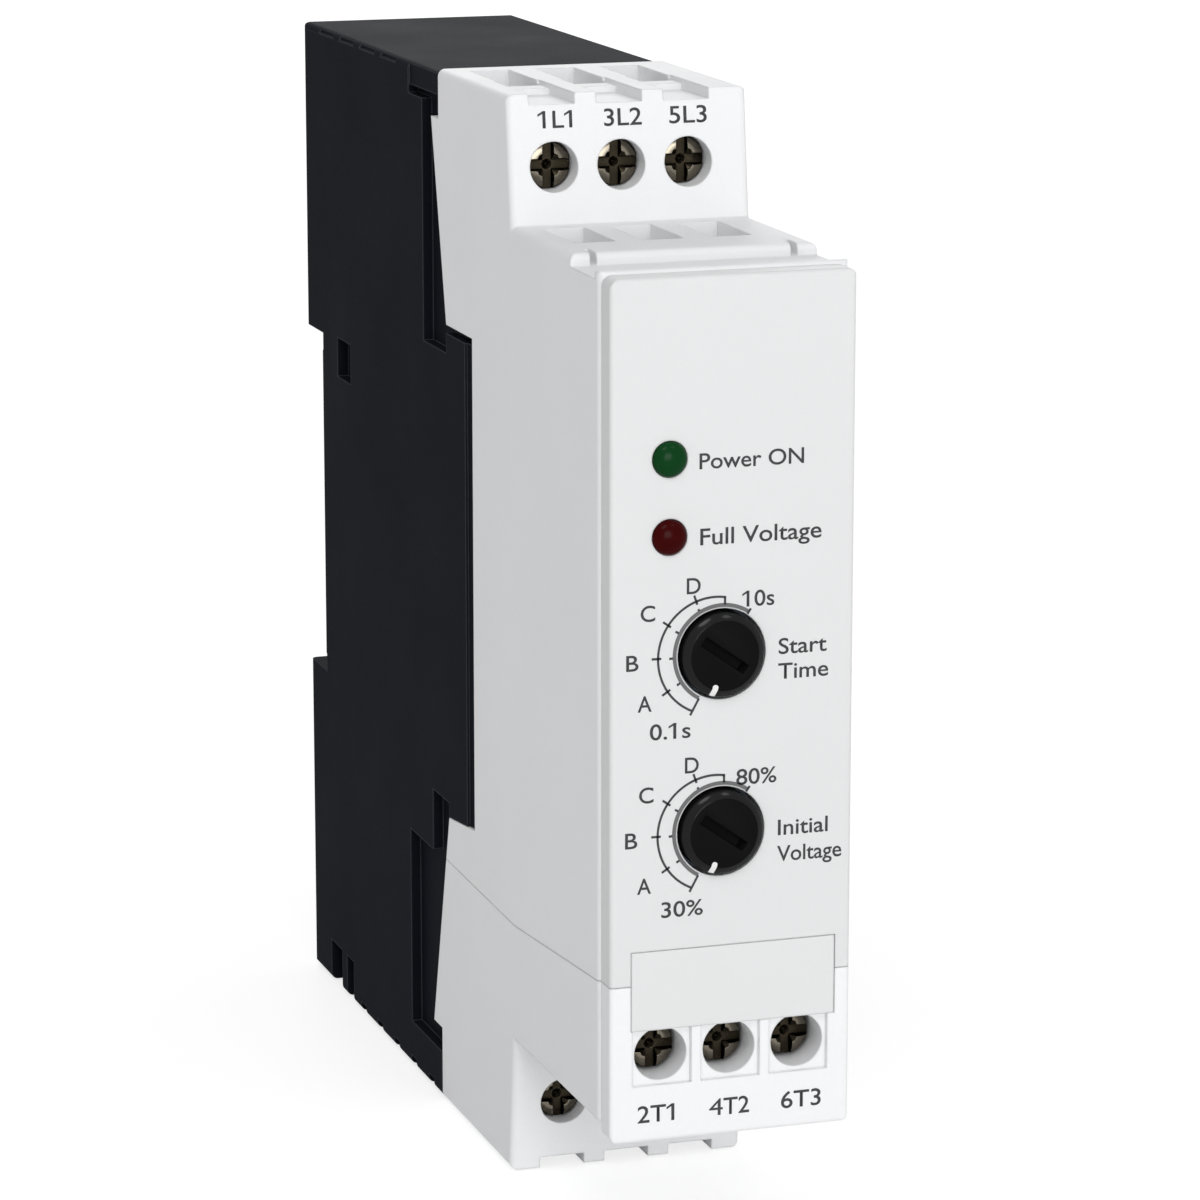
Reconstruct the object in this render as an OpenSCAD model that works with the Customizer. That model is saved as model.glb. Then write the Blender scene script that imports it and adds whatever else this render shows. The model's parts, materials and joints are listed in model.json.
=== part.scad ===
/* [Body] */
// Width of the housing, side to side
body_w = 22.5; // [21.5:0.5:30]
// Height of the housing
body_h = 100; // [96:0.5:115]
// Depth from the face of the front plate to the back
body_d = 99.5; // [97:0.5:115]
// Thickness of the cover walls
wall = 1.5; // [1.2:0.1:1.6]
// Radius on the long outer edges
edge_r = 0.7; // [0.3:0.1:1]
// Gap along the joint between two covers
seam_gap = 0.06; // [0.04:0.02:0.3]

/* [Front block] */
// Thickness of the front plate
plate_t = 2.4; // [2:0.1:3]
// Margin between the plate and the side of the block
plate_margin = 0.2; // [0.1:0.05:0.5]
// Radius on the plate's corners
plate_r = 0.9; // [0.6:0.1:1.5]
// Height of the block's underside above the base
block_bottom = 13.2; // [12.8:0.1:13.6]
// How far the block's top lies below the top of the housing
tier_h = 11.6; // [11:0.1:13]
// Thickness of the rim behind the plate
rim_t = 1.1; // [0.9:0.1:1.6]
// Depth of the ledge's front face, behind the trough in the block's top
ledge_d = 10.4; // [8:0.1:12]
// How far the trough lies below the block's top
trough_h = 1.1; // [0.8:0.1:1.4]
// Width of a bay in the block's top
bay_w = 3.8; // [3:0.1:4.2]
// Length of a bay, front to back
bay_l = 9; // [7:0.1:9.5]

/* [Terminal tiers] */
// Depth of the tiers' front faces at the block
tier_base_d = 27.4; // [26.5:0.1:29]
// How far a tier's face leans back over its height
tier_lean = 1.4; // [0.5:0.1:2]
// Depth of the tiers' back edges
tier_back_d = 50.5; // [49.5:0.1:51]
// Distance between neighbouring terminals
terminal_pitch = 6.3; // [6.2:0.05:6.6]
// How far the upper row of terminals lies off centre
upper_shift = -0.8; // [-0.9:0.1:0.5]
// Distance of a tier's screws from its outer face
tier_screw_z = 6.5; // [6.2:0.1:7]
// Height of the front row's screws above the base
front_screw_z = 19.5; // [19:0.1:20.2]
// Width of the notch for a wire in a tier's rim
rim_notch_w = 4.3; // [4:0.1:4.6]
// Depth of that notch
rim_notch_h = 1; // [0.6:0.1:1.3]
// Width of a wire funnel
funnel_w = 3.8; // [3.4:0.1:4]
// Length of a wire funnel, front to back
funnel_l = 9.5; // [7:0.1:9.8]

/* [Terminals] */
// Diameter of a screw's head
head_dia = 4.3; // [3.9:0.1:4.4]
// Height of a screw's head
head_h = 2.2; // [1.8:0.1:2.5]
// Diameter of a screw's thread
thread_dia = 2.9; // [2.4:0.1:3]
// How far a tier's screw heads sit behind the face
tier_sink = 1.7; // [1.2:0.1:2.2]
// How far the front row's heads sit behind the square recess
front_sink = 2.5; // [2.1:0.1:2.9]
// Diameter of a tier's screw hole
tier_hole_dia = 4.5; // [4.45:0.05:4.7]
// Diameter of the front row's screw hole
front_hole_dia = 4.8; // [4.6:0.1:5.1]
// Width of the square recess round a front screw
recess_w = 5.4; // [5.2:0.1:5.8]
// Depth of that recess
recess_t = 0.5; // [0.3:0.1:1]
// Width of a clamping cage
cage_w = 5; // [4.8:0.1:5.2]
// Height of a clamping cage
cage_h = 4.6; // [4.2:0.1:4.8]
// Thickness of a cage's side walls
cage_side = 0.6; // [0.5:0.05:0.7]
// Thickness of a cage's threaded wall
cage_nut = 1.2; // [1:0.1:1.4]
// Thickness of a cage's clamping wall
cage_back = 1; // [0.8:0.1:1.2]
// Travel of a cage from open to clamped
cage_travel = 2.5; // [2:0.1:2.8]
// Opening for the wire when the cage is down
wire_gap = 3.2; // [2.8:0.1:3.4]
// Thickness of a terminal bar
bar_t = 1; // [0.8:0.1:1.2]
// Width of a terminal bar
bar_w = 3.2; // [2.8:0.1:3.3]

/* [Front controls] */
// Distance of the lamps from the left-hand side
lamp_side = 5.5; // [5.3:0.05:6.5]
// Height of the upper lamp, as a share of the way from the upper knob to the window's top
lamp_top_share = 0.6; // [0.55:0.01:0.65]
// Height of the lower lamp, as a share of that way
lamp_low_share = 0.365; // [0.34:0.005:0.4]
// Diameter of a lamp
lamp_dia = 3.1; // [2.8:0.1:3.4]
// How far a lamp's dome stands out of the plate
lamp_proud = 0.8; // [0.5:0.05:0.85]
// Sideways place of the knobs
knob_x = -1; // [-2:0.1:1]
// Height of the upper knob above the base
knob_top_z = 54.9; // [53:0.1:56]
// Distance between the knobs
knob_pitch = 15.7; // [15:0.1:17]
// Diameter of a knob
knob_dia = 7.4; // [6.8:0.1:8]
// How far a knob stands out of the plate
knob_proud = 0.9; // [0.9:0.05:1.4]
// Diameter of a knob's stem
stem_dia = 3; // [2.5:0.1:3.5]
// Margin between the marker plate and the sides
marker_margin = 1.9; // [1.8:0.1:2.6]
// Height of the marker plate
marker_h = 7.1; // [6.6:0.1:7.5]
// Height of the marker plate's lower edge above the base
marker_z = 21.8; // [21.4:0.1:22]
// How far the marker plate's middle lies off centre
marker_x = 0.25; // [-0.3:0.05:0.3]

/* [Joint between the covers] */
// Height of the joint at the back
seam_back_z = 24.5; // [24:0.1:25]
// Height of the joint at the tiers' face
seam_tier_z = 24; // [23.9:0.1:25]
// Height of the joint at the front
seam_front_z = 25.9; // [25.5:0.1:26.5]

/* [Rear housing] */
// How far the rear housing's roof lies under the covers' top
roof_drop = 0.3; // [0.1:0.1:0.6]
// Thickness of the sleeve's wall, inside the covers
sleeve_wall = 1.2; // [1:0.1:1.4]
// Thickness of the covers' wings over the sleeve
wing_t = 0.9; // [0.7:0.05:1]
// Depth of the side tongues' front edges
tongue_d = 40; // [38.5:0.1:41]
// Height of a tongue's lower edge above the base
tongue_low_z = 29.8; // [29.4:0.1:30.2]
// Height of a tongue's upper edge above the base
tongue_top_z = 75.6; // [74:0.1:76.5]
// Number of air slots along the base
vent_count = 5; // [3:1:5]
// Distance between the air slots
vent_pitch = 6.2; // [5.5:0.1:6.4]
// Width of an air slot
vent_w = 2; // [1.5:0.1:2.6]
// Height of an air slot
vent_h = 1; // [0.6:0.1:1.4]

/* [Rail seat] */
// Height of the mounting rail
rail_h = 35; // [35:0.1:35.2]
// Play of the rail in the notch
rail_play = 0.4; // [0.2:0.1:0.6]
// Height of the rail's middle above the base
rail_mid_z = 50.9; // [49:0.1:53]
// Depth of the notch for the rail
notch_d = 6.2; // [5.8:0.1:7]
// Gap behind the hook for the rail's edge
rail_slot = 1.4; // [1.2:0.1:1.6]
// How far the hook and the latch reach over the rail's edge
hook_reach = 1.5; // [1.2:0.1:1.8]
// Thickness of the hook and the latch's nose
hook_t = 2.8; // [2.4:0.1:3]
// Width of the latch
latch_w = 9; // [7:0.5:12]
// Travel of the latch
latch_travel = 2.5; // [2:0.1:2.6]
// Clearance round the latch
latch_gap = 0.3; // [0.25:0.05:0.35]

/* [Hidden] */
$fn = 48;

black_plastic = [0.10, 0.105, 0.12];
white_plastic = [0.90, 0.905, 0.91];
board_green = [0.08, 0.30, 0.18];
screw_metal = [0.33, 0.30, 0.25];
tinned_copper = [0.72, 0.66, 0.56];
steel = [0.62, 0.62, 0.62];

// Cutters run past a face by this much, and unions overlap by it
over = 1;
// Clearances between faces, round turning rods and along seated faces
face_gap = 0.3;
turn_gap = 0.05;
seat_gap = 0.15;

half_w = body_w / 2;
inner_half = half_w - wall;
pole_x = [-terminal_pitch, 0, terminal_pitch];
upper_pole_x = [for (x = pole_x) x + upper_shift];

// Main heights above the base and depths behind the plate's face
tier_base_z = body_h - tier_h;
tier_top_d = tier_base_d + tier_lean;
lean_angle = atan(tier_lean / tier_h);
low_lean_angle = atan(tier_lean / block_bottom);
roof_z = body_h - roof_drop;
rail_seat_d = body_d - notch_d;
notch_low_z = rail_mid_z - (rail_h + rail_play) / 2;
notch_top_z = rail_mid_z + (rail_h + rail_play) / 2;

// Top of the block: rim, trough, ledge with a slot at each end, and the blind bays
rim_r = 0.4;
rim_drop = 0.4;
rim_z = tier_base_z - rim_drop;
ledge_r = 0.6;
ledge_end_w = 1.8;
ledge_slot_w = 0.6;
ledge_slot_l = 2.4;
ledge_slot_h = 1;
trough_z = tier_base_z - trough_h;
bay_lead = 2;
bay_d = tier_base_d - bay_lead - bay_l;
bay_h = 2.6;
bay_floor = 1;
cavity_top_z = tier_base_z - bay_h - bay_floor;

// Outline of the covers' back edge against the rear housing
wing_step = 2.4;
wing_drop = 4.6;
wing_top_z = body_h - wing_drop;
wing_low_z = 7.1;
wing_reach = 3.6;
wing_low_d = tier_back_d + wing_reach;
low_reach = 0.8;
low_back_d = tier_back_d + low_reach;
tongue_gap = 0.8;
tongue_l = 8.4;
tongue_back_d = tongue_d + tongue_l;
tongue_edge_fall = 0.9;

// Front plate, its locating lip and the window behind it
plate_edge_r = 0.4;
plate_drop = 0.7;
plate_top_z = tier_base_z - plate_drop;
plate_fall = 1.5;
plate_low_z = block_bottom - plate_fall;
window_wall = 0.9;
window_half = inner_half - window_wall;
window_lift = 3.5;
window_low_z = marker_z + marker_h + window_lift;
window_drop = 1.2;
window_top_z = cavity_top_z - window_drop;
lip_t = 0.6;
lip_l = 1.2;
marker_w = body_w - 2 * marker_margin;
marker_t = 1.2;
marker_sink = 0.05;

// Lamps and knobs
knob_z = [knob_top_z, knob_top_z - knob_pitch];
lamp_x = lamp_side - half_w;
lamp_way = window_top_z - knob_top_z;
lamp_z = [knob_top_z + lamp_top_share * lamp_way, knob_top_z + lamp_low_share * lamp_way];
lamp_tail = 1;
lamp_back_d = plate_t + lamp_tail;
lamp_flange = 0.35;
lead_dia = 0.5;
lead_pitch = 1.27;
knob_chamfer = 0.4;
knob_back_gap = 0.8;
knob_back_d = plate_t - knob_back_gap;
knob_slot_l = 5.4;
knob_slot_w = 1.1;
knob_slot_t = 0.8;
knob_slot_angle = 40;
pot_w = 9.5;
pot_l = 5.6;

// Sleeve and cavity of the rear housing
sleeve_half = half_w - wing_t - seat_gap;
rear_inner_half = sleeve_half - sleeve_wall;
sleeve_reach = 3.4;
sleeve_d = tongue_back_d - sleeve_reach;
sleeve_low_z = block_bottom + wall + face_gap;
sleeve_top_z = cavity_top_z - face_gap;
rear_wall_t = 1.8;
rear_cavity_d = rail_seat_d - rear_wall_t;
rear_floor_z = 6;
roof_t = 2.2;

// Recessed strips where the sleeve shows between the covers and the rear housing
strip_gap = 5.6;
strip_d = tier_back_d + strip_gap;
low_strip_l = 5.9;
low_strip_d = strip_d + low_strip_l;
low_hook_gap = 3.5;
low_hook_d = tier_back_d + low_hook_gap;
strip_low_z = 4.6;
strip_mid_fall = 0.2;
strip_mid_z = seam_back_z - strip_mid_fall;
strip_top_lift = 0.5;
strip_top_z = tongue_low_z + strip_top_lift;
lug_h = 1.9;
roof_slot_l = 4.6;
roof_slot_d = strip_d + roof_slot_l;
roof_slot_h = 3;
roof_slot_z = roof_z - roof_slot_h;

// Small details of the rear housing's sides and base
tongue_step = 0.3;
tongue_step_l = 2.4;
pocket_lead = 10.7;
pocket_d = rail_seat_d - pocket_lead;
pocket_l = 5;
pocket_drop = 3.6;
pocket_z = notch_top_z - pocket_drop;
pocket_h = 4;
pocket_t = 1.2;
nick_count = 4;
nick_pitch = 7.6;
nick_lead = 4.4;
nick_first_d = roof_slot_d + nick_lead;
nick_l = 5.4;
nick_h = 0.6;
nick_t = 0.25;
tab_step = 0.2;
vent_lead = 3;
vent_first_d = low_back_d + vent_lead;
foot_slot_lead = 4.9;
foot_slot_d = rail_seat_d - foot_slot_lead;
foot_slot_l = 4.4;
foot_slot_h = 4.4;
foot_rib_t = 1.8;
small_slot_l = 2.7;

// Boards
board_t = 1.6;
board_side_gap = 0.95;
board_half = inner_half - board_side_gap;
front_board_d = plate_t + pot_l;
front_board_back_d = front_board_d + board_t;
stem_end_gap = 1.5;
stem_end_d = front_board_d - stem_end_gap;
main_board_gap = 0.4;
main_board_x = rear_inner_half - main_board_gap - board_t;
main_board_lift = 3;
main_board_low_z = rear_floor_z + main_board_lift;
main_board_drop = 5.5;
main_board_top_z = roof_z - roof_t - main_board_drop;
main_board_step_d = low_back_d + 2 * face_gap;
terminal_board_tail = 2;
terminal_board_back_d = sleeve_d + terminal_board_tail;
terminal_board_inset = 2;
upper_board_drop = 2.8;
upper_board_z = cavity_top_z - upper_board_drop;
lower_board_fall = 0.6;
lower_board_z = seam_tier_z - lower_board_fall;
front_board_low_z = window_low_z - wall;
front_board_drop = 2;
front_board_top_z = upper_board_z - wall - front_board_drop;
ledge_hold = 0.4;
ledge_root = 0.2;
ledge_end_gap = 1;
rib_l = 7;
rib_lift = 3;
rib_low_z = main_board_low_z + rib_lift;
header_w = 2.5;
header_l = 14;

// Power parts on the main board
sink_x = -2;
sink_t = 2;
sink_l = 32;
sink_z = 52;
fin_t = 1;
fin_count = 7;
thyristor_w = 10.4;
thyristor_h = 15.5;
thyristor_t = 4.5;
thyristor_pitch = 14;
relay_l = 29;
relay_w = 12.7;
relay_h = main_board_x + rear_inner_half - face_gap;
relay_back_gap = 2;
relay_lift = 8;
relay_z = rear_floor_z + relay_lift;
capacitor_dia = 10;
capacitor_l = 13;
capacitor_lead = 2;
capacitor_d = strip_d - capacitor_lead;
capacitor_z = 40;

// One terminal, measured back from the underside of its screw's head
head_chamfer = 0.35;
cross_l = 3.4;
cross_w = 0.8;
cross_t = 0.9;
cross_hub_dia = 1.7;
web_t = 0.7;
cage_shut = turn_gap + web_t + face_gap;
cage_open = cage_shut + cage_travel;
thread_tail = 2.05;
thread_l = cage_open + cage_nut + thread_tail;
bar_at = thread_l + turn_gap;
window_end = bar_at + bar_t + wire_gap;
cage_end = window_end + cage_back;
chamber_end = cage_end + face_gap;
chamber_w = cage_w + 2 * face_gap;
chamber_h = cage_h + 2 * face_gap;
dish_lead = 1.5;
dish_h = 2;
dish_rim_l = 2.2;
dish_rim_h = 0.4;

// Heights of each row's screw axes and depths of its face and head seats
upper_axis_z = body_h - tier_screw_z;
lower_axis_z = tier_screw_z;
upper_face_d = tier_base_d + tier_lean * (tier_h - tier_screw_z) / tier_h;
lower_face_d = tier_base_d + tier_lean * (block_bottom - tier_screw_z) / block_bottom;
upper_seat_d = upper_face_d + tier_sink + head_h;
lower_seat_d = lower_face_d + tier_sink + head_h;
front_seat_d = recess_t + front_sink + head_h;
front_core_end = front_seat_d + chamber_end + wall;

// Ends of the terminal bars inside their cages
bar_end = cage_h / 2 - seat_gap;
upper_bar_top_z = upper_axis_z + bar_end;
upper_bar_low_z = upper_board_z + board_t;
front_bar_low_z = front_screw_z - bar_end;
lower_bar_low_z = lower_axis_z - bar_end;

// Relief of the rail seat beside the hook and the latch
relief_t = 0.2;
relief_h = hook_reach + face_gap;

// Rail latch, the peg it runs over and its spring
latch_d = rail_seat_d + rail_slot;
hook_half = 8;
hook_lead = 0.8;
latch_ramp = 1.4;
latch_lift = 0.5;
latch_low_z = latch_travel + latch_lift;
driver_slot_half = 2.5;
driver_slot_z = 1.2;
driver_slot_h = 1.8;
stop_half = 1.9;
stop_lift = 5.3;
stop_z = latch_low_z + stop_lift;
stop_h = 2;
spring_window = 13.7;
spring_top_z = stop_z + spring_window;
spring_r = 0.95;
spring_wire = 0.45;
spring_seat = 0.05;
spring_turns = 8;
ring_steps = 12;
ring_sides = 8;

// Places things in the object's frame, whose origin lies under its middle
module depth_frame() {
    translate([0, -(body_d - knob_proud) / 2, 0])
        children();
}

// A side outline, drawn as depth and height, as wide as stated
module side_slab(width) {
    rotate([90, 0, 90])
        translate([0, 0, -width / 2])
            linear_extrude(width)
                children();
}

// A front outline, drawn as width and height, between two depths
module front_slab(d0, d1) {
    translate([0, d1, 0])
        rotate([90, 0, 0])
            linear_extrude(d1 - d0)
                children();
}

// A plan outline, drawn as width and depth, between two heights
module plan_slab(z0, z1) {
    translate([0, 0, z0])
        linear_extrude(z1 - z0)
            children();
}

module block(x0, x1, d0, d1, z0, z1) {
    translate([x0, d0, z0])
        cube([x1 - x0, d1 - d0, z1 - z0]);
}

module wide_block(half, d0, d1, z0, z1) {
    block(-half, half, d0, d1, z0, z1);
}

module rod_y(x, z, d0, d1, dia) {
    translate([x, d1, z])
        rotate([90, 0, 0])
            cylinder(d = dia, h = d1 - d0);
}

module round_rect(x0, y0, x1, y1, r) {
    translate([x0 + r, y0])
        square([x1 - x0 - 2 * r, y1 - y0]);
    translate([x0, y0 + r])
        square([x1 - x0, y1 - y0 - 2 * r]);
    for (x = [x0 + r, x1 - r], y = [y0 + r, y1 - r])
        translate([x, y])
            circle(r);
}

// A box whose twelve edges are rounded
module soft_block(half, d0, d1, z0, z1, r) {
    intersection() {
        front_slab(d0, d1)
            round_rect(-half, z0, half, z1, r);
        plan_slab(z0, z1)
            round_rect(-half, d0, half, d1, r);
        side_slab(2 * half)
            round_rect(d0, z0, d1, z1, r);
    }
}

// Covers

// The face of a tier leans back, so its rounded corners follow the lean
module upper_tier() {
    intersection() {
        side_slab(body_w)
            polygon([
                [tier_base_d, tier_base_z - over], [tier_base_d, tier_base_z], [tier_top_d, body_h],
                [wing_low_d, body_h], [wing_low_d, tier_base_z - over]
            ]);
        translate([0, tier_base_d, tier_base_z])
            rotate([-lean_angle, 0, 0])
                plan_slab(-body_h, body_h)
                    round_rect(-half_w, 0, half_w, body_h, edge_r);
        front_slab(0, body_d)
            round_rect(-half_w, -over, half_w, body_h, edge_r);
    }
}

module lower_tier() {
    intersection() {
        side_slab(body_w)
            polygon([
                [tier_base_d, block_bottom + over], [tier_base_d, block_bottom], [tier_top_d, 0],
                [wing_low_d, 0], [wing_low_d, block_bottom + over]
            ]);
        translate([0, tier_base_d, block_bottom])
            rotate([low_lean_angle, 0, 0])
                plan_slab(-body_h, body_h)
                    round_rect(-half_w, 0, half_w, body_h, edge_r);
        front_slab(0, body_d)
            round_rect(-half_w, 0, half_w, body_h, edge_r);
    }
}

// The block behind the plate: a rim, a trough across its top, then the ledge with the bays
module front_block() {
    root_z = trough_z - 2 * ledge_r;
    intersection() {
        side_slab(body_w) {
            translate([plate_t, block_bottom])
                square([wing_low_d - plate_t, trough_z - block_bottom]);
            round_rect(plate_t, root_z, plate_t + rim_t, rim_z, rim_r);
            round_rect(ledge_d, root_z, wing_low_d, tier_base_z, ledge_r);
        }
        plan_slab(0, body_h)
            round_rect(-half_w, plate_t, half_w, body_d, edge_r);
        front_slab(0, body_d)
            round_rect(-half_w, 0, half_w, tier_base_z, edge_r);
    }
}

// Everything white that lies in front of the rear housing
module cover_room() {
    side_slab(body_w + 2 * over)
        polygon([
            [-over, -over], [-over, body_h + over], [tier_back_d, body_h + over],
            [tier_back_d, wing_top_z], [tier_back_d + wing_step, wing_top_z],
            [tongue_back_d - seam_gap, tongue_top_z + tongue_gap],
            [tongue_d - seam_gap, tongue_top_z + tongue_gap],
            [tongue_d - seam_gap, tongue_low_z - seam_gap],
            [tongue_back_d, tongue_low_z - tongue_edge_fall - seam_gap],
            [wing_low_d, wing_low_z], [low_back_d, wing_low_z], [low_back_d, -over]
        ]);
}

// What lies above the joint between the covers, moved by half of the gap
module above_seam(shift) {
    side_slab(body_w + 2 * over)
        polygon([
            [-over, body_h + over], [-over, seam_front_z + shift], [plate_t, seam_front_z + shift],
            [tier_base_d, seam_tier_z + shift], [tier_back_d, seam_back_z + shift],
            [body_d, seam_back_z + shift], [body_d, body_h + over]
        ]);
}

// Room for the sleeve of the rear housing inside the covers' wings
module sleeve_room() {
    room_half = sleeve_half + seat_gap;
    wide_block(room_half, sleeve_d - face_gap, body_d, block_bottom + wall, cavity_top_z);
    wide_block(room_half, tier_back_d, body_d, -over, body_h + over);
}

// Screw hole, cage chamber and the web that holds the screw, for one terminal
module terminal_cuts(x, z, face_d, seat_d, hole_dia) {
    web_end = seat_d + turn_gap + web_t;
    rod_y(x, z, face_d - 2 * over, seat_d + turn_gap, hole_dia);
    rod_y(x, z, seat_d, web_end + over, thread_dia + 2 * turn_gap);
    block(x - chamber_w / 2, x + chamber_w / 2, web_end, seat_d + chamber_end,
        z - chamber_h / 2, z + chamber_h / 2);
}

// Slot for a terminal bar between two heights
module bar_slot(x, seat_d, z0, z1) {
    slot_half = bar_w / 2 + seat_gap;
    bar_d = seat_d + bar_at;
    block(x - slot_half, x + slot_half, bar_d - seat_gap, bar_d + bar_t + seat_gap, z0, z1);
}

// Wire funnel of a tier, hung from its rim: a notch, a lip, then a dish and a throat
module tier_funnel(x, seat_d, throat_h) {
    throat_d = seat_d + bar_at + bar_t;
    funnel_d = throat_d - dish_lead;
    lip_d = funnel_d - dish_rim_l;
    block(x - rim_notch_w / 2, x + rim_notch_w / 2, 0, lip_d, -rim_notch_h, over);
    block(x - rim_notch_w / 2, x + rim_notch_w / 2, lip_d - over, funnel_d + over, -dish_rim_h, over);
    block(x - funnel_w / 2, x + funnel_w / 2, funnel_d, funnel_d + funnel_l, -dish_h, over);
    block(x - funnel_w / 2, x + funnel_w / 2, throat_d, throat_d + wire_gap, -throat_h, over);
}

module upper_cover() {
    color(white_plastic)
        depth_frame() {
            difference() {
                intersection() {
                    union() {
                        upper_tier();
                        front_block();
                    }
                    cover_room();
                    above_seam(seam_gap / 2);
                }
                wide_block(inner_half, plate_t + wall, body_d, 0, cavity_top_z);
                sleeve_room();
                plate_window();
                ledge_slots();
                for (x = upper_pole_x) {
                    terminal_cuts(x, upper_axis_z, upper_face_d, upper_seat_d, tier_hole_dia);
                    bar_slot(x, upper_seat_d, cavity_top_z - over, upper_axis_z);
                    translate([0, 0, body_h])
                        tier_funnel(x, upper_seat_d, tier_screw_z - chamber_h / 2 + over);
                    block(x - bay_w / 2, x + bay_w / 2, bay_d, bay_d + bay_l, tier_base_z - bay_h, body_h);
                }
            }
            cover_ledges();
        }
}

// Slots that part the ledge from the sides
module ledge_slots() {
    for (side = [0, 1])
        mirror([side, 0, 0])
            block(half_w - ledge_end_w - ledge_slot_w, half_w - ledge_end_w,
                ledge_d - over, ledge_d + ledge_slot_l, tier_base_z - ledge_slot_h, body_h);
}

// Ledges inside the upper cover that carry the upper and the front board
module cover_ledges() {
    ledge_x = board_half - ledge_hold;
    for (side = [0, 1])
        mirror([side, 0, 0]) {
            block(ledge_x, inner_half + ledge_root, tier_top_d + terminal_board_inset, sleeve_d - ledge_end_gap,
                upper_board_z - wall, upper_board_z);
            block(ledge_x, inner_half + ledge_root, front_board_back_d, front_board_back_d + wall,
                front_board_low_z + wall, front_board_top_z - wall);
        }
}

// Window in the block's front wall for the lamps and the knobs' stems
module plate_window() {
    wide_block(window_half, 0, plate_t + wall + over, window_low_z, window_top_z);
}

module lower_cover() {
    color(white_plastic)
        depth_frame()
            difference() {
                intersection() {
                    union() {
                        lower_tier();
                        front_block();
                        plate_shape();
                    }
                    cover_room();
                    difference() {
                        wide_block(body_w, -over, body_d, -over, body_h);
                        above_seam(-seam_gap / 2);
                    }
                }
                wide_block(inner_half, front_core_end, body_d, block_bottom + wall, body_h);
                wide_block(inner_half, plate_t + wall, body_d, lower_board_z, body_h);
                sleeve_room();
                marker_seat();
                for (x = pole_x) {
                    lower_row_cuts(x);
                    front_row_cuts(x);
                }
            }
}

module lower_row_cuts(x) {
    terminal_cuts(x, lower_axis_z, lower_face_d, lower_seat_d, tier_hole_dia);
    bar_slot(x, lower_seat_d, lower_axis_z, block_bottom + wall + over);
    mirror([0, 0, 1])
        tier_funnel(x, lower_seat_d, tier_screw_z - chamber_h / 2 + over);
}

module front_row_cuts(x) {
    throat_d = front_seat_d + bar_at + bar_t;
    terminal_cuts(x, front_screw_z, 0, front_seat_d, front_hole_dia);
    block(x - recess_w / 2, x + recess_w / 2, -over, recess_t,
        front_screw_z - recess_w / 2, front_screw_z + recess_w / 2);
    bar_slot(x, front_seat_d, front_screw_z, lower_board_z + over);
    block(x - funnel_w / 2, x + funnel_w / 2, throat_d, throat_d + wire_gap,
        block_bottom - over, front_screw_z);
}

// The plate's full outline, with rounded corners and front edges
module plate_shape() {
    plate_half = half_w - plate_margin;
    intersection() {
        front_slab(0, plate_t)
            round_rect(-plate_half, plate_low_z, plate_half, plate_top_z, plate_r);
        plan_slab(0, body_h)
            round_rect(-plate_half, 0, plate_half, body_d, plate_edge_r);
        side_slab(body_w)
            round_rect(0, plate_low_z, body_d, plate_top_z, plate_edge_r);
    }
}

// Seat of the marker plate in the front plate and the lower cover
module marker_seat() {
    seat_half = marker_w / 2 + seam_gap;
    block(marker_x - seat_half, marker_x + seat_half, -over, marker_t + marker_sink,
        marker_z, marker_z + marker_h + seam_gap);
}

module front_plate() {
    lip_half = window_half - seat_gap;
    color(white_plastic)
        depth_frame()
            difference() {
                union() {
                    intersection() {
                        plate_shape();
                        above_seam(seam_gap / 2);
                    }
                    difference() {
                        wide_block(lip_half, plate_t - over, plate_t + lip_l,
                            window_low_z + seat_gap, window_top_z - seat_gap);
                        wide_block(lip_half - lip_t, 0, body_d,
                            window_low_z + seat_gap + lip_t, window_top_z - seat_gap - lip_t);
                    }
                }
                marker_seat();
                for (z = lamp_z)
                    rod_y(lamp_x, z, -over, body_d, lamp_dia + 2 * turn_gap);
                for (z = knob_z)
                    rod_y(knob_x, z, -over, plate_t + over, knob_dia + 2 * face_gap);
            }
}

module marker_plate() {
    color(white_plastic)
        depth_frame()
            block(marker_x - marker_w / 2, marker_x + marker_w / 2, marker_sink, marker_sink + marker_t,
                marker_z, marker_z + marker_h);
}

// Lamps, knobs and the boards behind the plate

module lamp(z, tint) {
    color(tint)
        depth_frame() {
            translate([lamp_x, lamp_dia / 2 - lamp_proud, z])
                sphere(d = lamp_dia);
            rod_y(lamp_x, z, lamp_dia / 2 - lamp_proud, lamp_back_d, lamp_dia);
            rod_y(lamp_x, z, plate_t + turn_gap, lamp_back_d, lamp_dia + 2 * lamp_flange);
        }
}

module lamp_leads() {
    color(steel)
        depth_frame()
            for (z = lamp_z, side = [-1, 1])
                rod_y(lamp_x + side * lead_pitch / 2, z, lamp_back_d, front_board_d, lead_dia);
}

module knob(z) {
    color(black_plastic)
        depth_frame()
            translate([knob_x, 0, z])
                difference() {
                    union() {
                        translate([0, knob_chamfer - knob_proud, 0])
                            rotate([90, 0, 0])
                                cylinder(d1 = knob_dia, d2 = knob_dia - 2 * knob_chamfer, h = knob_chamfer);
                        rod_y(0, 0, knob_chamfer - knob_proud, knob_back_d, knob_dia);
                        rod_y(0, 0, knob_back_d - over, stem_end_d, stem_dia);
                    }
                    rotate([0, knob_slot_angle, 0])
                        block(-knob_slot_l / 2, knob_slot_l / 2, -knob_proud - over, knob_slot_t - knob_proud,
                            -knob_slot_w / 2, knob_slot_w / 2);
                }
}

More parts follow.
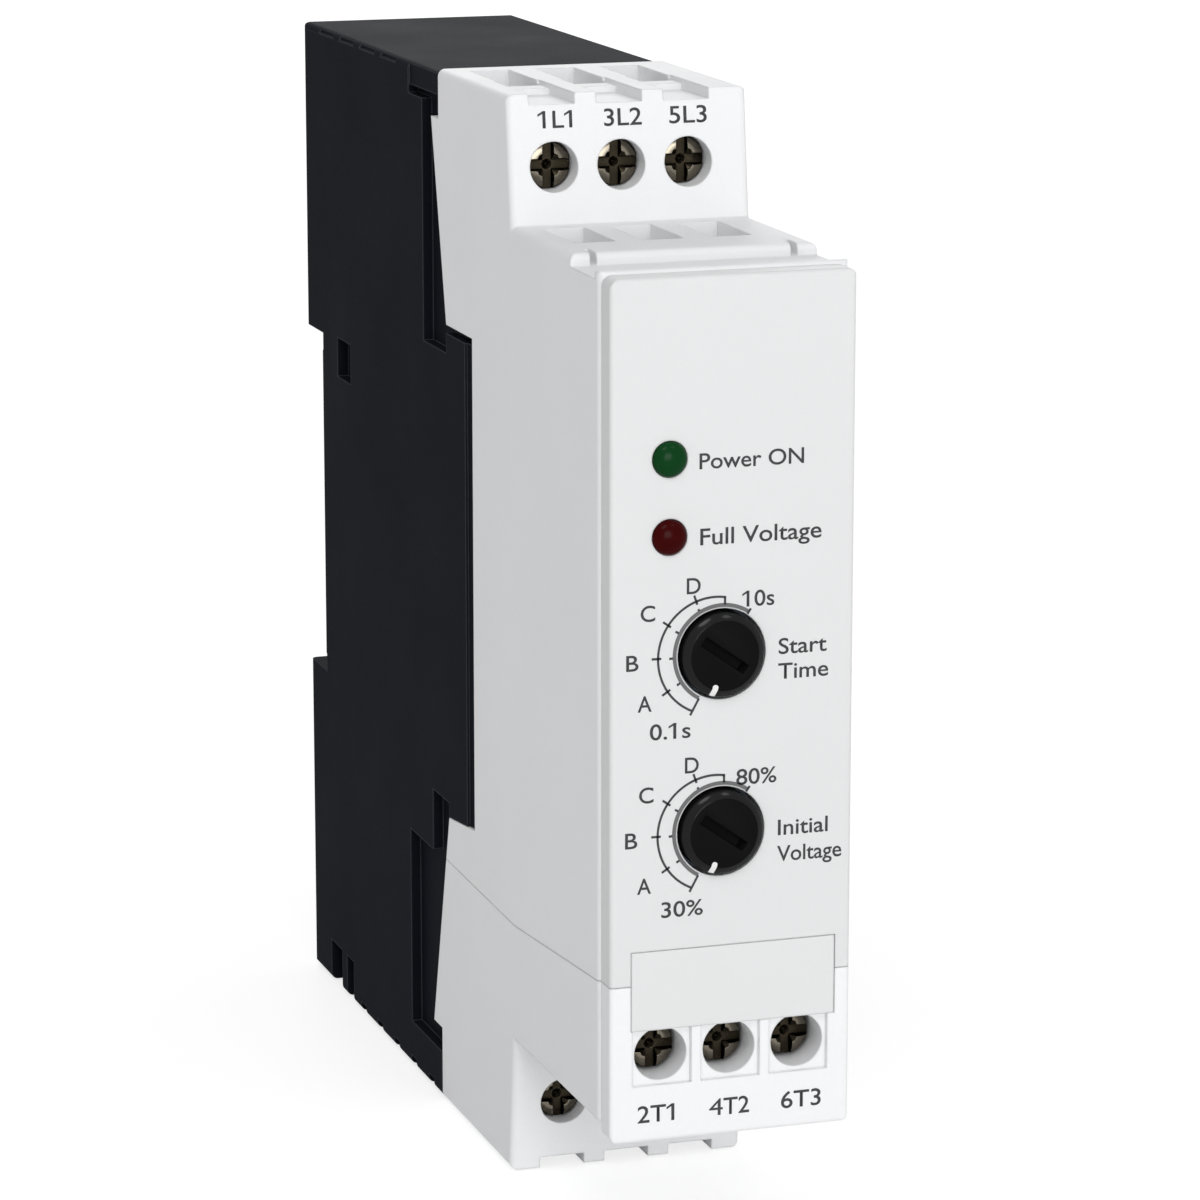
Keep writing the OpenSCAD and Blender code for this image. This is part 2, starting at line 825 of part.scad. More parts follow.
module pot(z) {
    color("slategray")
        depth_frame()
            difference() {
                block(knob_x - pot_w / 2, knob_x + pot_w / 2, plate_t + face_gap, front_board_d,
                    z - pot_w / 2, z + pot_w / 2);
                rod_y(knob_x, z, 0, stem_end_d + face_gap, stem_dia + 2 * turn_gap);
            }
}

module front_board() {
    color(board_green)
        depth_frame()
            wide_block(board_half, front_board_d, front_board_back_d, front_board_low_z, front_board_top_z);
}

// The main board stands along the right-hand wall and steps in under the tiers
module main_board() {
    front_d = front_board_back_d + wall;
    color(board_green)
        depth_frame()
            translate([main_board_x + board_t / 2, 0, 0])
                side_slab(board_t)
                    polygon([
                        [front_d, front_board_low_z], [front_d, front_board_top_z],
                        [main_board_step_d, front_board_top_z],
                        [main_board_step_d, main_board_top_z], [rear_cavity_d, main_board_top_z],
                        [rear_cavity_d, main_board_low_z], [main_board_step_d, main_board_low_z],
                        [main_board_step_d, front_board_low_z]
                    ]);
}

module board_header() {
    mid_z = (knob_z[0] + knob_z[1]) / 2;
    color("dimgray")
        depth_frame()
            block(main_board_x - header_w, main_board_x,
                front_board_back_d, front_board_back_d + wall + header_w,
                mid_z - header_l / 2, mid_z + header_l / 2);
}

module upper_terminal_board() {
    color(board_green)
        depth_frame()
            wide_block(board_half, tier_top_d + terminal_board_inset, terminal_board_back_d,
                upper_board_z, upper_board_z + board_t);
}

module lower_terminal_board() {
    color(board_green)
        depth_frame()
            wide_block(board_half, plate_t + wall + terminal_board_inset, terminal_board_back_d,
                lower_board_z, lower_board_z + board_t);
}

// The heat sink's fins stand upright, between the air slots of the floor and the roof
module heat_sink() {
    fin_step = (sink_l - fin_t) / (fin_count - 1);
    sink_d = rear_cavity_d - wall - sink_l;
    color("silver")
        depth_frame() {
            block(sink_x - sink_t, sink_x, sink_d, sink_d + sink_l, sink_z, main_board_top_z);
            for (i = [0 : fin_count - 1])
                translate([0, sink_d + i * fin_step, 0])
                    block(face_gap - rear_inner_half, sink_x - sink_t, 0, fin_t, sink_z, main_board_top_z);
        }
}

module thyristor(index) {
    mid_d = rear_cavity_d - wall - sink_l / 2 + (index - 0.5) * thyristor_pitch;
    top_z = main_board_top_z - thyristor_h;
    color("dimgray")
        depth_frame() {
            block(sink_x, sink_x + thyristor_t, mid_d - thyristor_w / 2, mid_d + thyristor_w / 2,
                top_z - thyristor_h, top_z);
            for (i = [-1 : 1])
                translate([0, mid_d + i * thyristor_w / 4, 0])
                    block(sink_x + thyristor_t / 2, main_board_x, -lead_dia / 2, lead_dia / 2,
                        top_z - thyristor_h - lead_dia, top_z - thyristor_h);
        }
}

module bypass_relay() {
    relay_d = rear_cavity_d - relay_back_gap;
    color("cornflowerblue")
        depth_frame()
            block(main_board_x - relay_h, main_board_x, relay_d - relay_l, relay_d,
                relay_z, relay_z + relay_w);
}

module capacitor() {
    color("darkslateblue")
        depth_frame()
            translate([main_board_x - capacitor_l, capacitor_d, capacitor_z])
                rotate([0, 90, 0])
                    cylinder(d = capacitor_dia, h = capacitor_l);
}

// Terminals

module bar_row(poles, seat_d, z0, z1) {
    color(tinned_copper)
        depth_frame()
            for (x = poles)
                block(x - bar_w / 2, x + bar_w / 2, seat_d + bar_at, seat_d + bar_at + bar_t, z0, z1);
}

// A screw with a domed rim and a crossed recess
module terminal_screw(x, z, seat_d) {
    top_d = -head_h;
    color(screw_metal)
        depth_frame()
            translate([x, seat_d, z])
                difference() {
                    union() {
                        rod_y(0, 0, top_d + head_chamfer, 0, head_dia);
                        translate([0, top_d + head_chamfer, 0])
                            rotate([90, 0, 0])
                                cylinder(d1 = head_dia, d2 = head_dia - 2 * head_chamfer, h = head_chamfer);
                        rod_y(0, 0, -over / 2, thread_l, thread_dia);
                    }
                    for (turn = [0, 90])
                        rotate([0, turn, 0])
                            block(-cross_l / 2, cross_l / 2, top_d - over, top_d + cross_t,
                                -cross_w / 2, cross_w / 2);
                    rod_y(0, 0, top_d - over, top_d + cross_t, cross_hub_dia);
                }
}

// A cage that climbs its screw and lifts the wire against the bar
module clamp_cage(x, z, seat_d) {
    inner = cage_w / 2 - cage_side;
    color(steel)
        depth_frame()
            translate([x, seat_d, z])
                difference() {
                    block(-cage_w / 2, cage_w / 2, cage_open, cage_end, -cage_h / 2, cage_h / 2);
                    block(-inner, inner, cage_open + cage_nut, window_end, -cage_h, cage_h);
                    rod_y(0, 0, 0, cage_open + cage_nut + over, thread_dia + 2 * turn_gap);
                }
}

// Rear housing

// Outline where the rear housing is as wide as the covers
module rear_outline() {
    relief_d = rail_seat_d - relief_t;
    polygon([
        [tier_back_d + face_gap, roof_z], [body_d, roof_z], [body_d, notch_top_z], [relief_d, notch_top_z],
        [relief_d, notch_top_z - relief_h], [rail_seat_d, notch_top_z - relief_h],
        [rail_seat_d, notch_low_z + relief_h], [relief_d, notch_low_z + relief_h],
        [relief_d, notch_low_z], [body_d, notch_low_z], [body_d, 0], [low_back_d + face_gap, 0],
        [low_back_d + face_gap, strip_low_z], [low_strip_d, strip_low_z], [low_strip_d, strip_mid_z],
        [low_hook_d, strip_mid_z], [low_hook_d, strip_top_z], [tongue_back_d, strip_top_z],
        [tongue_back_d, tongue_low_z - tongue_edge_fall], [tongue_d, tongue_low_z],
        [tongue_d, tongue_top_z], [tongue_back_d, tongue_top_z], [tongue_back_d, tongue_top_z - lug_h],
        [strip_d, tongue_top_z - lug_h], [strip_d, roof_slot_z], [roof_slot_d, roof_slot_z],
        [roof_slot_d, roof_z - roof_t], [tier_back_d + face_gap, roof_z - roof_t]
    ]);
}

// Outline of the sleeve that slides into the covers
module sleeve_outline() {
    core_end = rail_seat_d - relief_t - over;
    polygon([
        [low_back_d + face_gap, over], [low_back_d + face_gap, sleeve_low_z], [sleeve_d, sleeve_low_z],
        [sleeve_d, sleeve_top_z], [tier_back_d + face_gap, sleeve_top_z],
        [tier_back_d + face_gap, roof_z - over], [core_end, roof_z - over], [core_end, over]
    ]);
}

module rear_housing() {
    color(black_plastic)
        depth_frame() {
            difference() {
                intersection() {
                    union() {
                        side_slab(body_w)
                            rear_outline();
                        side_slab(2 * sleeve_half)
                            sleeve_outline();
                    }
                    soft_block(half_w, 0, body_d, 0, roof_z, edge_r);
                }
                wide_block(rear_inner_half, 0, rear_cavity_d, rear_floor_z, roof_z - roof_t);
                air_slots();
                foot_slots();
                latch_channel();
                side_details();
            }
            rail_hook();
            latch_stop();
            board_rib();
        }
}

// Slots in the floor, wide at the base and open to the inside
module air_slots() {
    for (i = [0 : vent_count - 1])
        translate([0, vent_first_d + i * vent_pitch, 0]) {
            wide_block(body_w, 0, vent_w, -over, vent_h);
            wide_block(rear_inner_half - wall, 0, vent_w, -over, rear_floor_z + over);
        }
}

// The two deeper slots in front of the latch
module foot_slots() {
    wide_block(body_w, foot_slot_d, foot_slot_d + foot_slot_l, -over, foot_slot_h);
    wide_block(body_w, foot_slot_d - foot_rib_t - small_slot_l, foot_slot_d - foot_rib_t,
        -over, foot_slot_h);
}

// Pockets, the tongues' stepped edges, the roof's front tabs and the nicks along its edges
module side_details() {
    for (side = [0, 1])
        mirror([side, 0, 0]) {
            block(half_w - tongue_step, body_w, 0, tongue_d + tongue_step_l, 0, tongue_top_z + over);
            block(half_w - pocket_t, body_w, pocket_d, pocket_d + pocket_l, pocket_z, pocket_z + pocket_h);
            block(half_w - tab_step, body_w, 0, roof_slot_d, roof_slot_z, body_h);
            for (i = [0 : nick_count - 1])
                translate([0, nick_first_d + i * nick_pitch, 0])
                    block(half_w - nick_t, body_w, 0, nick_l, roof_z - nick_h, body_h);
        }
}

// Fixed hook over the rail's upper edge, with a sloped lead-in
module rail_hook() {
    hook_d = latch_d;
    side_slab(2 * hook_half)
        polygon([
            [hook_d, notch_top_z + over], [hook_d, notch_top_z - hook_reach],
            [hook_d + hook_t - hook_lead, notch_top_z - hook_reach],
            [hook_d + hook_t, notch_top_z - hook_reach + hook_lead], [hook_d + hook_t, notch_top_z + over]
        ]);
}

module latch_channel() {
    wide_block(latch_w / 2 + latch_gap, latch_d - latch_gap, latch_d + hook_t + latch_gap,
        -over, notch_low_z + over);
}

// Peg across the channel that stops the latch and carries its spring
module latch_stop() {
    wide_block(stop_half, latch_d - latch_gap - over / 2, latch_d + hook_t + latch_gap + over / 2,
        stop_z, stop_z + stop_h);
}

// Rib on the inner wall that the main board lies against
module board_rib() {
    block(main_board_x + board_t, rear_inner_half + over / 2, rear_cavity_d - rib_l, rear_cavity_d + over / 2,
        rib_low_z, main_board_top_z);
}

// Sprung latch under the rail, with a ramp for snapping on and a slot for a screwdriver
module rail_latch() {
    nose_z = notch_low_z + hook_reach;
    color(black_plastic)
        depth_frame()
            difference() {
                side_slab(latch_w)
                    polygon([
                        [latch_d, latch_low_z], [latch_d, nose_z], [latch_d + hook_t - latch_ramp, nose_z],
                        [latch_d + hook_t, nose_z - latch_ramp], [latch_d + hook_t, latch_low_z]
                    ]);
                wide_block(stop_half + latch_gap, 0, body_d + over, stop_z - latch_gap, spring_top_z);
                wide_block(driver_slot_half, 0, body_d + over, latch_low_z + driver_slot_z,
                    latch_low_z + driver_slot_z + driver_slot_h);
            }
}

// Coil spring between the peg and the top of the latch's window
function coil_point(turn, radius, height) =
    [radius * cos(turn * 360), radius * sin(turn * 360), spring_wire / 2 + turn * height];
function coil_ring(turn, height) =
    [for (k = [0 : ring_sides - 1])
        let (a = k * 360 / ring_sides)
        coil_point(turn, spring_r + spring_wire / 2 * cos(a), height) + [0, 0, spring_wire / 2 * sin(a)]];

module latch_spring() {
    length = spring_top_z - stop_z - stop_h - 2 * spring_seat;
    rise = (length - spring_wire) / spring_turns;
    rings = spring_turns * ring_steps;
    points = [for (i = [0 : rings], p = coil_ring(i / ring_steps, rise)) p];
    sides = [for (i = [0 : rings - 1], k = [0 : ring_sides - 1])
        let (a = i * ring_sides + k, b = i * ring_sides + (k + 1) % ring_sides)
        [a, a + ring_sides, b + ring_sides, b]];
    first_cap = [[for (k = [0 : ring_sides - 1]) k]];
    last_cap = [[for (k = [ring_sides - 1 : -1 : 0]) rings * ring_sides + k]];
    color(steel)
        depth_frame()
            translate([0, latch_d + hook_t / 2, stop_z + stop_h + spring_seat])
                polyhedron(points, concat(first_cap, sides, last_cap));
}

rear_housing();
upper_cover();
lower_cover();
front_plate();
marker_plate();
lamp(lamp_z[0], "forestgreen");  // power_lamp
lamp(lamp_z[1], "firebrick");  // voltage_lamp
lamp_leads();
knob(knob_z[0]);  // start_time_knob
knob(knob_z[1]);  // start_voltage_knob
pot(knob_z[0]);  // start_time_pot
pot(knob_z[1]);  // start_voltage_pot
front_board();
main_board();
board_header();
upper_terminal_board();
lower_terminal_board();
heat_sink();
thyristor(0);  // thyristor_1
thyristor(1);  // thyristor_2
bypass_relay();
capacitor();
bar_row(upper_pole_x, upper_seat_d, upper_bar_low_z, upper_bar_top_z);  // upper_terminal_bars
bar_row(pole_x, front_seat_d, front_bar_low_z, lower_board_z);  // front_terminal_bars
bar_row(pole_x, lower_seat_d, lower_bar_low_z, lower_board_z);  // lower_terminal_bars
terminal_screw(upper_pole_x[0], upper_axis_z, upper_seat_d);  // upper_screw_1
terminal_screw(upper_pole_x[1], upper_axis_z, upper_seat_d);  // upper_screw_2
terminal_screw(upper_pole_x[2], upper_axis_z, upper_seat_d);  // upper_screw_3
terminal_screw(pole_x[0], front_screw_z, front_seat_d);  // front_screw_1
terminal_screw(pole_x[1], front_screw_z, front_seat_d);  // front_screw_2
terminal_screw(pole_x[2], front_screw_z, front_seat_d);  // front_screw_3
terminal_screw(pole_x[0], lower_axis_z, lower_seat_d);  // lower_screw_1
terminal_screw(pole_x[1], lower_axis_z, lower_seat_d);  // lower_screw_2
terminal_screw(pole_x[2], lower_axis_z, lower_seat_d);  // lower_screw_3
clamp_cage(upper_pole_x[0], upper_axis_z, upper_seat_d);  // upper_cage_1
clamp_cage(upper_pole_x[1], upper_axis_z, upper_seat_d);  // upper_cage_2
clamp_cage(upper_pole_x[2], upper_axis_z, upper_seat_d);  // upper_cage_3
clamp_cage(pole_x[0], front_screw_z, front_seat_d);  // front_cage_1
clamp_cage(pole_x[1], front_screw_z, front_seat_d);  // front_cage_2
clamp_cage(pole_x[2], front_screw_z, front_seat_d);  // front_cage_3
clamp_cage(pole_x[0], lower_axis_z, lower_seat_d);  // lower_cage_1
clamp_cage(pole_x[1], lower_axis_z, lower_seat_d);  // lower_cage_2
clamp_cage(pole_x[2], lower_axis_z, lower_seat_d);  // lower_cage_3
rail_latch();
latch_spring();
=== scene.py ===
import json
import math

import bmesh
import bpy
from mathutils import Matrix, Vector


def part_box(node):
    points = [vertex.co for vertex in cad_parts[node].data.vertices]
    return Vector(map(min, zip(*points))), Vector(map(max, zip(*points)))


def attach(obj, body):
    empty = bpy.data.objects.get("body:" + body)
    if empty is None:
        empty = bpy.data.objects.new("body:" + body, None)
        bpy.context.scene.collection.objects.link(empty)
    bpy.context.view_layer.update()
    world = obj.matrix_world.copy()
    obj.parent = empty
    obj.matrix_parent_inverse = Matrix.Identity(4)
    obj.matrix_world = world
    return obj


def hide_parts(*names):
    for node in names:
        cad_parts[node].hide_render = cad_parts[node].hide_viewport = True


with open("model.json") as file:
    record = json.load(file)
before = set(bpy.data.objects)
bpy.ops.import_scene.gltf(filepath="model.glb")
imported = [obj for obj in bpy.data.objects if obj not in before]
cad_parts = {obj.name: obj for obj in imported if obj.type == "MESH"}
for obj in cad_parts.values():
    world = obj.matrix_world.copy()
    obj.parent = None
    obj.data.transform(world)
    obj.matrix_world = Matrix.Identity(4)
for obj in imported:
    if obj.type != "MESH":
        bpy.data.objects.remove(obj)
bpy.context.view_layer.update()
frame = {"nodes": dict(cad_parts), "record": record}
cadNodes = frame["nodes"]
mm = 0.001
tiny = 1e-7      # metres: points nearer than this count as one
facing = 0.9     # a face looks along an axis when its normal reaches this far along it
print("frame loaded:", len(cadNodes), "nodes")

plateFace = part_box("front_plate")[0].y      # the printed face looks along -Y


# working habits: one object picked at a time, faces and edges picked by place

def dropSelection():
    if bpy.context.object and bpy.context.object.mode != "OBJECT":
        bpy.ops.object.mode_set(mode="OBJECT")
    bpy.ops.object.select_all(action="DESELECT")


def pick(piece):
    dropSelection()
    piece.select_set(True)
    bpy.context.view_layer.objects.active = piece


def settle(piece):
    pick(piece)
    bpy.ops.object.transform_apply(location=True, rotation=True, scale=True)


def openEdit(piece, kind="FACE"):
    pick(piece)
    bpy.ops.object.mode_set(mode="EDIT")
    bpy.ops.mesh.select_mode(type=kind)


def chooseParts(piece, test, kind="faces"):
    bpy.ops.mesh.select_all(action="DESELECT")
    mesh = bmesh.from_edit_mesh(piece.data)
    for part in getattr(mesh, kind):
        if test(part):
            part.select_set(True)
    mesh.select_flush_mode()
    bmesh.update_edit_mesh(piece.data)


def closeEdit(mend=True):
    bpy.ops.mesh.select_all(action="SELECT")
    if mend:
        bpy.ops.mesh.remove_doubles(threshold=tiny)
        bpy.ops.mesh.normals_make_consistent(inside=False)
    bpy.ops.object.mode_set(mode="OBJECT")


def useModifier(piece, kind, **values):
    pick(piece)
    modifier = piece.modifiers.new(kind.title(), kind)
    for key, value in values.items():
        setattr(modifier, key, value)
    bpy.ops.object.modifier_apply(modifier=modifier.name)


def carveWith(piece, cutter):
    useModifier(piece, "BOOLEAN", operation="DIFFERENCE", solver="EXACT", object=cutter)
    bpy.data.objects.remove(cutter)


def softenEdges(piece, width, sharpFrom):
    useModifier(piece, "BEVEL", width=width, segments=2,
                limit_method="ANGLE", angle_limit=math.radians(sharpFrom))


def smoothUnder(piece, degrees):
    pick(piece)
    bpy.ops.object.shade_smooth_by_angle(angle=math.radians(degrees))


def twin(piece):
    pick(piece)
    bpy.ops.object.duplicate()
    return bpy.context.object


def joinPieces(pieces):
    dropSelection()
    for piece in pieces:
        piece.select_set(True)
    bpy.context.view_layer.objects.active = pieces[0]
    if len(pieces) > 1:
        bpy.ops.object.join()
    return bpy.context.object


def hand(piece, name, body, material):
    piece.name = name
    piece.data.name = name
    piece.data.materials.clear()
    piece.data.materials.append(material)
    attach(piece, body)
    return piece


# a round node about an axis along Y: its middle, radius, front and back
def roundNode(node):
    low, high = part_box(node)
    return (low + high) / 2, (high.x - low.x) / 2, low.y, high.y


# a round piece about an axis along Y, drawn out ring by ring from its front
# a ring is a radius and a place along Y; a hoop ends on its first ring
def turnPiece(at, rings, sides, hoop=False):
    dropSelection()
    radius, depth = rings[0]
    bpy.ops.mesh.primitive_circle_add(
        vertices=sides, radius=radius, fill_type="NOTHING" if hoop else "NGON",
        location=(at.x, depth, at.z), rotation=(math.pi / 2, 0, 0))
    piece = bpy.context.object
    settle(piece)
    openEdit(piece, "EDGE" if hoop else "FACE")
    bpy.ops.mesh.select_all(action="SELECT")
    drawOut = bpy.ops.mesh.extrude_edges_move if hoop else bpy.ops.mesh.extrude_region_move
    for nextRadius, nextDepth in rings[1:] + rings[:1] * hoop:
        ratio = nextRadius / radius
        drawOut(TRANSFORM_OT_translate={"value": (0, nextDepth - depth, 0)})
        bpy.ops.transform.resize(value=(ratio, 1, ratio), center_override=(at.x, nextDepth, at.z))
        radius, depth = nextRadius, nextDepth
    closeEdit()
    return piece


def boxPiece(low, high, turn):
    dropSelection()
    bpy.ops.mesh.primitive_cube_add(size=1, location=(low + high) / 2, rotation=(0, turn, 0))
    piece = bpy.context.object
    piece.scale = high - low
    settle(piece)
    return piece


# shader groups

def newGroup(name, inputs, outputs):
    tree = bpy.data.node_groups.new(name, "ShaderNodeTree")
    for label, kind, value in inputs:
        socket = tree.interface.new_socket(name=label, in_out="INPUT", socket_type=kind)
        socket.default_value = value
    for label, kind in outputs:
        tree.interface.new_socket(name=label, in_out="OUTPUT", socket_type=kind)
    start = tree.nodes.new("NodeGroupInput")
    end = tree.nodes.new("NodeGroupOutput")
    return tree, start.outputs, end.inputs


def addNode(tree, kind, **values):
    node = tree.nodes.new(kind)
    for key, value in values.items():
        if key in node.inputs:
            node.inputs[key].default_value = value
        else:
            setattr(node, key, value)
    return node


# a socket takes a plain value or a link
def feed(tree, socket, value):
    if isinstance(value, (int, float, tuple)):
        socket.default_value = value
    else:
        tree.links.new(value, socket)


def addMath(tree, operation, first, second, clamp=False):
    node = addNode(tree, "ShaderNodeMath", operation=operation, use_clamp=clamp)
    feed(tree, node.inputs[0], first)
    feed(tree, node.inputs[1], second)
    return node.outputs[0]


# how far a value lies above a level, times a gain
def addSwing(tree, value, gain, level=0.5, clamp=False):
    return addMath(tree, "MULTIPLY", addMath(tree, "SUBTRACT", value, level), gain, clamp)


def addMix(tree, share, first, second):
    node = addNode(tree, "ShaderNodeMix", data_type="RGBA")
    feed(tree, node.inputs["Factor"], share)
    feed(tree, node.inputs[6], first)      # 6 and 7 are the two colours
    feed(tree, node.inputs[7], second)
    return node.outputs[2]


def addNoise(tree, scale, detail, vector, roughness=0.5):
    node = addNode(tree, "ShaderNodeTexNoise", Detail=detail, Roughness=roughness)
    feed(tree, node.inputs["Vector"], vector)
    feed(tree, node.inputs["Scale"], scale)
    return node.outputs["Fac"]


color, number = "NodeSocketColor", "NodeSocketFloat"


# moulded skin: a fine grain with slow clouds of tone
skinLook = dict(grainDetail=2.0, cloudScale=70.0, cloudDetail=3.0, cloudShare=0.7, speckShare=0.55,
                roughCloud=0.16, roughSpeck=0.2)


def makeMouldedSkin():
    tree, start, end = newGroup(
        "mouldedSkin",
        [("Color", color, (0.8, 0.8, 0.8, 1)), ("Shade", color, (0.7, 0.7, 0.7, 1)),
         ("Grain Scale", number, 3000.0), ("Roughness", number, 0.5)],
        [("Color", color), ("Roughness", number), ("Height", number)])
    place = addNode(tree, "ShaderNodeTexCoord").outputs["Object"]
    grain = addNoise(tree, start["Grain Scale"], skinLook["grainDetail"], place)
    cloud = addNoise(tree, skinLook["cloudScale"], skinLook["cloudDetail"], place)
    speck = addSwing(tree, grain, skinLook["speckShare"])
    share = addMath(tree, "ADD", addMath(tree, "MULTIPLY", cloud, skinLook["cloudShare"]), speck, clamp=True)
    tree.links.new(addMix(tree, share, start["Color"], start["Shade"]), end["Color"])
    drift = addSwing(tree, cloud, skinLook["roughCloud"])
    fleck = addMath(tree, "MULTIPLY", speck, skinLook["roughSpeck"])
    rough = addMath(tree, "ADD", addMath(tree, "ADD", start["Roughness"], drift), fleck)
    tree.links.new(rough, end["Roughness"])
    tree.links.new(grain, end["Height"])
    return tree


# soft edges: rounded normals at the corners, and a mask along them that lays a painted highlight
edgeHighlightLook = dict(samples=6, gain=6.0)


def makeSoftEdge():
    tree, start, end = newGroup(
        "softEdge", [("Radius", number, 0.0002)], [("Normal", "NodeSocketVector"), ("Edge Highlight", number)])
    bevel = addNode(tree, "ShaderNodeBevel", samples=edgeHighlightLook["samples"])
    tree.links.new(start["Radius"], bevel.inputs["Radius"])
    shape = addNode(tree, "ShaderNodeNewGeometry")
    compare = addNode(tree, "ShaderNodeVectorMath", operation="DOT_PRODUCT")
    tree.links.new(bevel.outputs["Normal"], compare.inputs[0])
    tree.links.new(shape.outputs["Normal"], compare.inputs[1])
    away = addMath(tree, "SUBTRACT", 1.0, compare.outputs["Value"])
    tree.links.new(addMath(tree, "MULTIPLY", away, edgeHighlightLook["gain"], clamp=True), end["Edge Highlight"])
    tree.links.new(bevel.outputs["Normal"], end["Normal"])
    return tree


# worked metal: drawn lines, dull patches, and painted shade that darkens its hollows
metalLook = dict(lineStretch=(1.0, 0.06, 1.0), lineDetail=3.0, lineRough=0.2, patchScale=420.0, patchDetail=4.0,
                 patchGrit=0.6, patchLevel=0.3, patchGain=1.6, patchRough=0.35,
                 hollowShadeReach=0.0012, hollowShadeSamples=8, hollowShadeLevel=0.52, hollowShadeGain=3.2)


def makeWorkedMetal():
    tree, start, end = newGroup(
        "workedMetal",
        [("Color", color, (0.4, 0.4, 0.4, 1)), ("Dull", color, (0.2, 0.2, 0.2, 1)),
         ("Hollow Shade", color, (0.1, 0.1, 0.1, 1)), ("Grain Scale", number, 900.0), ("Roughness", number, 0.35)],
        [("Color", color), ("Roughness", number), ("Height", number)])
    place = addNode(tree, "ShaderNodeTexCoord").outputs["Object"]
    stretch = addNode(tree, "ShaderNodeMapping", Scale=metalLook["lineStretch"])
    tree.links.new(place, stretch.inputs["Vector"])
    lines = addNoise(tree, start["Grain Scale"], metalLook["lineDetail"], stretch.outputs["Vector"])
    patch = addNoise(tree, metalLook["patchScale"], metalLook["patchDetail"], place, metalLook["patchGrit"])
    share = addSwing(tree, patch, metalLook["patchGain"], metalLook["patchLevel"], clamp=True)
    wearAndHighlight = addMix(tree, share, start["Color"], start["Dull"])
    # painted shade: ambient occlusion on the piece itself darkens the colour in its hollows
    hollowShade = addNode(tree, "ShaderNodeAmbientOcclusion", samples=metalLook["hollowShadeSamples"], only_local=True,
                     Distance=metalLook["hollowShadeReach"])
    clear = addSwing(tree, hollowShade.outputs["AO"], metalLook["hollowShadeGain"], metalLook["hollowShadeLevel"], clamp=True)
    tree.links.new(addMix(tree, clear, start["Hollow Shade"], wearAndHighlight), end["Color"])
    drift = addSwing(tree, patch, metalLook["patchRough"])
    streak = addSwing(tree, lines, metalLook["lineRough"])
    rough = addMath(tree, "ADD", addMath(tree, "ADD", start["Roughness"], drift), streak, clamp=True)
    tree.links.new(rough, end["Roughness"])
    tree.links.new(lines, end["Height"])
    return tree


mouldedSkin = makeMouldedSkin()
softEdge = makeSoftEdge()
workedMetal = makeWorkedMetal()
print("shader groups made")


def placeGroup(tree, group, **values):
    node = tree.nodes.new("ShaderNodeGroup")
    node.node_tree = group
    for key, value in values.items():
        node.inputs[key].default_value = value
    return node


def tone(red, green, blue):
    return (red, green, blue, 1.0)


def bareTree(owner):
    owner.use_nodes = True
    owner.node_tree.nodes.clear()
    return owner.node_tree


def startMaterial(name):
    material = bpy.data.materials.new(name)
    tree = bareTree(material)
    surface = tree.nodes.new("ShaderNodeBsdfPrincipled")
    output = tree.nodes.new("ShaderNodeOutputMaterial")
    tree.links.new(surface.outputs["BSDF"], output.inputs["Surface"])
    return material, tree, surface


# the grain's relief lies on the softened corners
def addRelief(tree, surface, grain, corner, strength, depth):
    relief = addNode(tree, "ShaderNodeBump", Strength=strength, Distance=depth)
    tree.links.new(grain.outputs["Height"], relief.inputs["Height"])
    tree.links.new(corner.outputs["Normal"], relief.inputs["Normal"])
    tree.links.new(relief.outputs["Normal"], surface.inputs["Normal"])
    tree.links.new(grain.outputs["Roughness"], surface.inputs["Roughness"])


finishLook = dict(plasticRelief=0.00005, metalRelief=0.00003, coatRough=0.12, hollowShadeShare=0.4)


def makePlastic(name, base, shade, edge, grain, rough, bump, specular, radius, coat=0.0):
    material, tree, surface = startMaterial(name)
    skin = placeGroup(tree, mouldedSkin, **{"Color": base, "Shade": shade,
                                            "Grain Scale": grain, "Roughness": rough})
    corner = placeGroup(tree, softEdge, Radius=radius)
    # painted highlight: the edge colour, lighter than the skin, is laid along the softened corners
    wearAndHighlight = addMix(tree, corner.outputs["Edge Highlight"], skin.outputs["Color"], edge)
    tree.links.new(wearAndHighlight, surface.inputs["Base Color"])
    addRelief(tree, surface, skin, corner, bump, finishLook["plasticRelief"])
    surface.inputs["Specular IOR Level"].default_value = specular
    surface.inputs["Coat Weight"].default_value = coat
    surface.inputs["Coat Roughness"].default_value = finishLook["coatRough"]
    return material


def makeMetal(name, base, dull, grain, rough, bump, radius):
    material, tree, surface = startMaterial(name)
    # the colour of the painted shade in hollows is a share of the dull colour
    hollowShade = tone(*(part * finishLook["hollowShadeShare"] for part in dull[:3]))
    metal = placeGroup(tree, workedMetal, **{"Color": base, "Dull": dull, "Hollow Shade": hollowShade,
                                             "Grain Scale": grain, "Roughness": rough})
    corner = placeGroup(tree, softEdge, Radius=radius)
    tree.links.new(metal.outputs["Color"], surface.inputs["Base Color"])
    addRelief(tree, surface, metal, corner, bump, finishLook["metalRelief"])
    surface.inputs["Metallic"].default_value = 1.0
    return material
